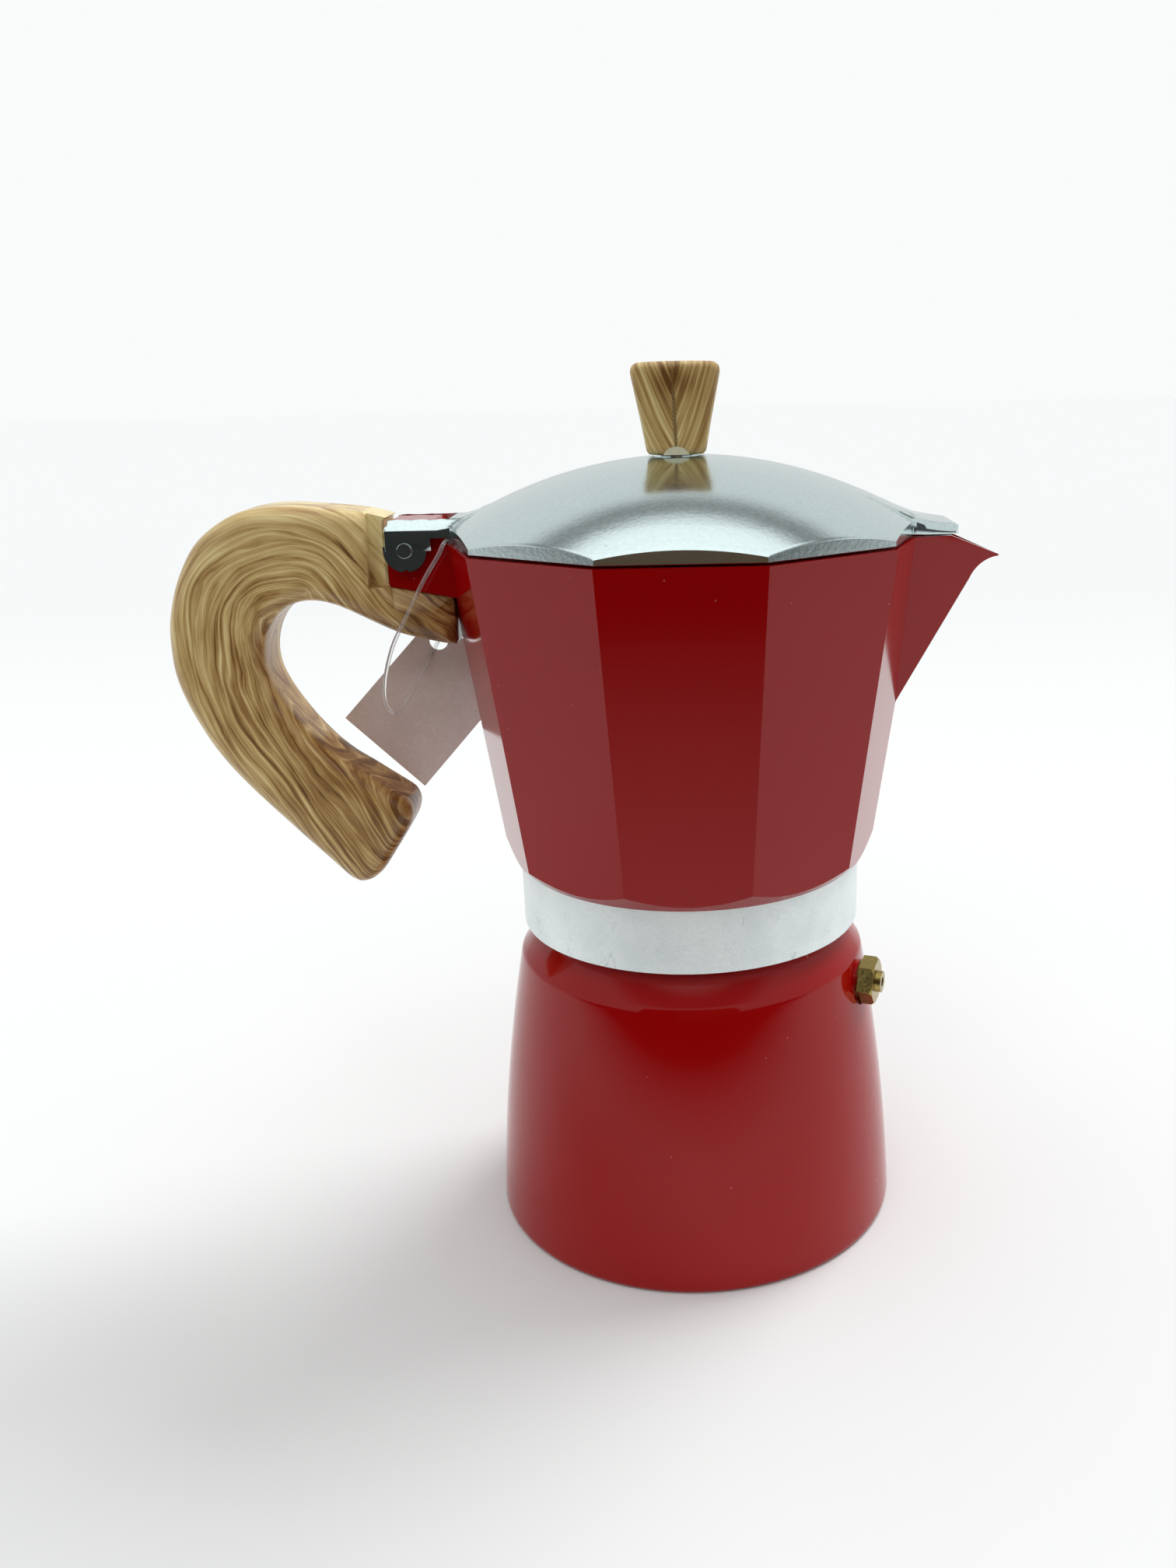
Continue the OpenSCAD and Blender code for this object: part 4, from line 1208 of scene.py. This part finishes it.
handleSettings = {
    "half": 9.0,
    "farthest": -115.46,
    "round": 3.6,
    "outline": [
        (-64.9, 168.0), (-67.6, 168.7), (-70.7, 169.4), (-75.3, 170.0), (-81, 170.5),
        (-86.7, 170.9), (-91.3, 170.8), (-96, 170.1), (-100.2, 168.5), (-104.6, 165.7),
        (-107.9, 162.6), (-110.7, 158.3), (-113.1, 153.1), (-114.8, 147.3), (-115.4, 143),
        (-115.5, 138), (-114.9, 132.7), (-113.2, 127.2), (-110.8, 121.8), (-107.9, 116.4),
        (-104.1, 111), (-99.3, 105.3), (-93.8, 99.4), (-88.2, 93.5), (-83.7, 88.9),
        (-80.6, 85.6), (-78.4, 83.9), (-76.4, 83.5), (-74.1, 84.3), (-71.6, 86.5),
        (-68.8, 90.6), (-65.9, 95.1), (-64.3, 98.2), (-64, 100.8), (-65, 103.1),
        (-67.3, 104.9), (-70.5, 107.1), (-74.5, 109.9), (-78.6, 112.6), (-82.5, 116),
        (-86.3, 120.3), (-89.5, 124.7), (-92.1, 129), (-93.8, 132.9), (-94.4, 136.3),
        (-94.2, 139.7), (-93.3, 142.8), (-91.9, 145.5), (-89.9, 147.7), (-87.1, 149.3),
        (-84.1, 150), (-80.6, 149.8), (-77.1, 148.8), (-73.2, 147), (-68.7, 144.7),
        (-64.7, 142.8), (-61, 141.6), (-55.5, 140.3), (-51.3, 139.5)],
    "end": [(-51.15, 140.2), (-51.6, 149.9), (-52.0, 150.2), (-64.9, 152.75), (-65.4, 153.2),
            (-65.5, 167.5)],
    "spine": [
        (-50, 145.3), (-58, 146.8), (-66, 149.5), (-73, 155), (-80, 160), (-88, 160.5),
        (-95, 158.5), (-101, 154), (-104.2, 147.5), (-105, 139.5), (-104, 131.5),
        (-101, 123.5), (-96.5, 116), (-90.5, 109), (-84, 102.2), (-77.5, 95.8), (-71, 89.5)],
}


def makeHandle(s):
    curve = smoothLine(s["outline"], 3, closed=False)
    curve[:, 0] = np.maximum(curve[:, 0], s["farthest"])
    outline = np.vstack([curve, np.array(s["end"])])
    obj = roundedSlab("handleBody", outline, s["half"], s["round"], rings=7, grid=1.2, bulge=0.3)
    for side in (-1, 1):
        y0, y1 = sorted((side * 5.6, side * 12))
        cutOrJoin(obj, boxTool((-69.2, y0, 152.9), (-60, y1, 180)), "DIFFERENCE")
    bpy.ops.mesh.primitive_cylinder_add(vertices=48, radius=4.2 * mm, depth=24 * mm,
                                        location=(-58.4 * mm, 0, (144.4 - 12) * mm))
    cutOrJoin(obj, bpy.context.object, "DIFFERENCE")
    cleanNormals(obj.data)
    place = vertexArray(obj)
    spine = smoothLine(s["spine"], 6, closed=False)
    start, finish = spine[:-1], spine[1:]
    step = finish - start
    length = np.linalg.norm(step, axis=1)
    along = np.concatenate([[0], np.cumsum(length)[:-1]])
    grain = np.empty((len(place), 3))
    printToneAndPaintedLight = np.empty(len(place))
    for i, (x, y, z) in enumerate(place):
        d = np.array([x, z]) - start
        t = np.clip((d * step).sum(axis=1) / length ** 2, 0, 1)
        gap = np.array([x, z]) - (start + step * t[:, None])
        k = int(np.argmin((gap ** 2).sum(axis=1)))
        side = step[k][0] * gap[k][1] - step[k][1] * gap[k][0]
        distance = math.copysign(math.hypot(*gap[k]), side)
        run = along[k] + length[k] * t[k]
        # the print is laid on a little askew, so its lines run off the edges
        grain[i] = (run, distance + 0.18 * run + 0.3 * (abs(y) - 9) + 5.0 * math.sin(run / 23), y)
        # painted light and shade: lighter along the top of the curl, darker on the tongue under the
        # bracket and at the lower end, and the inner edge darker than the outer
        paintedLightAlong = np.interp(run, [0, 18, 30, 60, 110, 150], [-1.2, -0.6, 0.9, 0.5, -0.2, -1.1])
        printToneAndPaintedLight[i] = 0.07 * paintedLightAlong + 0.03 * np.interp(distance, [-9, 9], [1, -1])
    # the plain strip beside the hinge is lighter
    strip = (place[:, 0] > -69.6) & (place[:, 2] > 153) & (np.abs(place[:, 1]) < 6.4)
    printToneAndPaintedLight[strip] += 0.16
    addAttribute(obj, "grain", "FLOAT_VECTOR", grain * mm)
    addAttribute(obj, "printToneAndPaintedLight", "FLOAT", printToneAndPaintedLight)
    return finishPiece(obj, "jug", "wood_grain_plastic", ["handle"], angle=40)


makeHandle(handleSettings)


# ---- knob ----

knobSettings = {
    "centre": -1.0,
    "bottom": 180.0,
    "top": 199.58,
    "half": 5.4,
    "round": 1.5,
    "outline": [(-5.3, 0.1), (0, 0.0), (5.3, 0.1), (6.15, 0.55), (6.6, 1.5), (7.5, 6.5),
                (8.6, 12.0), (9.5, 16.6), (9.6, 17.6), (9.3, 18.6), (8.5, 19.2), (7.2, 19.45),
                (0, 19.6), (-7.2, 19.45), (-8.5, 19.2), (-9.3, 18.6), (-9.6, 17.6),
                (-9.5, 16.6), (-8.6, 12.0), (-7.5, 6.5), (-6.6, 1.5), (-6.15, 0.55)],
}


def makeKnob(s):
    outline = smoothLine([(x + s["centre"], z + s["bottom"]) for x, z in s["outline"]], 5)
    outline[:, 1] = np.clip(outline[:, 1], s["bottom"], s["top"])
    obj = roundedSlab("knobBody", outline, s["half"], s["round"], rings=6, grid=0.5)
    arch = circlePoints(s["centre"], s["bottom"] - 1.2, 3.1, 49)
    cutOrJoin(obj, prismTool(arch, -8, 8), "DIFFERENCE")
    cleanNormals(obj.data)
    place = vertexArray(obj)
    x = place[:, 0] - s["centre"] - 0.02 * (place[:, 2] - s["bottom"]) * -1.5
    up = (place[:, 2] - s["bottom"]) / (s["top"] - s["bottom"])
    side = np.abs(x)
    lean = 8.2 * up ** 0.8
    grain = np.stack([place[:, 2] * 0.6 + side * 0.3,
                      np.sign(x) * 30 + side - lean + 0.25 * place[:, 1], place[:, 1]], axis=1)
    # the crown patch is the print's dark end grain; the sides are darker toward the top
    crownPatch = np.exp(-((x / 4.6) ** 2 + ((up - 0.8) / 0.2) ** 2) * 1.2)
    printToneAndPaintedLight = -0.2 * crownPatch + 0.04 - 0.05 * np.clip(side / 9 - 0.75, 0, 1) * up
    seam = np.exp(-(x / 0.32) ** 2) * np.clip((0.78 - up) * 6, 0, 1) * 0.85
    addAttribute(obj, "grain", "FLOAT_VECTOR", grain * mm)
    addAttribute(obj, "printToneAndPaintedLight", "FLOAT", printToneAndPaintedLight)
    addAttribute(obj, "seam", "FLOAT", seam)
    return finishPiece(obj, "cover", "wood_grain_plastic", ["knob"], knobGrain, angle=40)


makeKnob(knobSettings)


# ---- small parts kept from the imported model, with softened edges ----

smallParts = [
    ("valve_body", "valveHex", "base", "brass", 0.25),
    ("hinge_pin", "hingePin", "jug", "polished_aluminium", 0.2),
    ("knob_insert", "knobInsert", "cover", "cream_plastic", 0.15),
    ("knob_screw", "knobScrew", "cover", "steel", 0.2),
    ("handle_screw", "handleScrew", "jug", "steel", 0.2),
    ("handle_washer", "handleWasher", "jug", "steel", 0.1),
    ("column_cap", "columnCap", "jug", "satin_aluminium", 0.2),
]
for node, name, body, slotName, width in smallParts:
    piece = copyNode(node, name, 0.4)
    softenEdges(piece, width, 2, 30)
    cleanNormals(piece.data)
    finishPiece(piece, body, slotName, [node], angle=32, even=True)

sieves = [
    ("filterPlate", "seals", "filter_plate", 0.0294, 0.0215, 0.0022, 0.0005, 0.0878),
    ("funnelScreen", "filter_funnel", "funnel_screen", 0.0252, 0.0235, 0.0030, 0.0007, 0.0620),
]
for name, body, node, radius, holed, pitch, hole, bottom in sieves:
    piece = growPiece(name, sieveTree,
                      {"Radius": radius, "Holed Radius": holed, "Pitch": pitch, "Hole": hole,
                       "Thickness": 0.0008, "Bottom": bottom}, materials["satin_aluminium"])
    finishPiece(piece, body, "satin_aluminium", [node], angle=30)

for node, slotName in (("funnel", "satin_aluminium"), ("gasket", "silicone"),
                       ("valve_seat", "brass"), ("valve_plunger", "steel"),
                       ("valve_spring", "steel")):
    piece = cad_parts[node]
    piece.data.materials.clear()
    piece.data.materials.append(materials[slotName])
print("small parts ready")


# ---- hang tag and its nylon loop ----

loopSettings = {
    "diameter": 0.9,
    "route": [
        (3.2, -4.6, 0.65), (2.3, -9.5, 0.6), (0.7, -10.8, -2.4), (-2.9, -10.7, -7.9),
        (-7.6, -10.6, -16.4), (-10.6, -10.5, -22), (-12.8, -10.2, -29), (-13.6, -8.6, -35),
        (-12.9, -4, -38.6), (-11.6, 2, -38.4), (-9.6, 7.4, -34.6), (-6.6, 10.2, -29),
        (-4.8, 11, -25.6), (-4.4, 11.9, -24.6), (-4.1, 12.6, -22.6), (-3.6, 11.6, -17.5),
        (-2.6, 10.9, -10), (-0.6, 10.8, -4.6), (1.3, 10.7, -1.2), (2.3, 9.5, 0.6), (3.2, 5, 0.65),
        (3.2, -3.4, 0.65)],
}


def makeTag():
    obj = copyNode("tag", "hangTag", 0.4)
    softenEdges(obj, 0.1, 1, 40)
    cleanNormals(obj.data)
    return finishPiece(obj, "jug", "card", ["tag"], angle=30)


def makeLoop(s):
    route = [(x - pot["rim"], y, z + pot["rimHeight"]) for x, y, z in s["route"]]
    line = smoothLine(route, 6, closed=False)
    data = bpy.data.curves.new("tagLoop", "CURVE")
    data.dimensions = "3D"
    spline = data.splines.new("POLY")
    spline.points.add(len(line) - 1)
    for spot, p in zip(spline.points, line):
        spot.co = (*(p * mm), 1)
    data.bevel_depth = s["diameter"] / 2 * mm
    data.bevel_resolution = 3
    data.use_fill_caps = True
    data.materials.append(materials["clear_nylon"])
    obj = bpy.data.objects.new("tagLoop", data)
    scene.collection.objects.link(obj)
    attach(obj, "jug")
    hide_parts("tag_loop")
    return obj


hangTag = makeTag()
makeLoop(loopSettings)
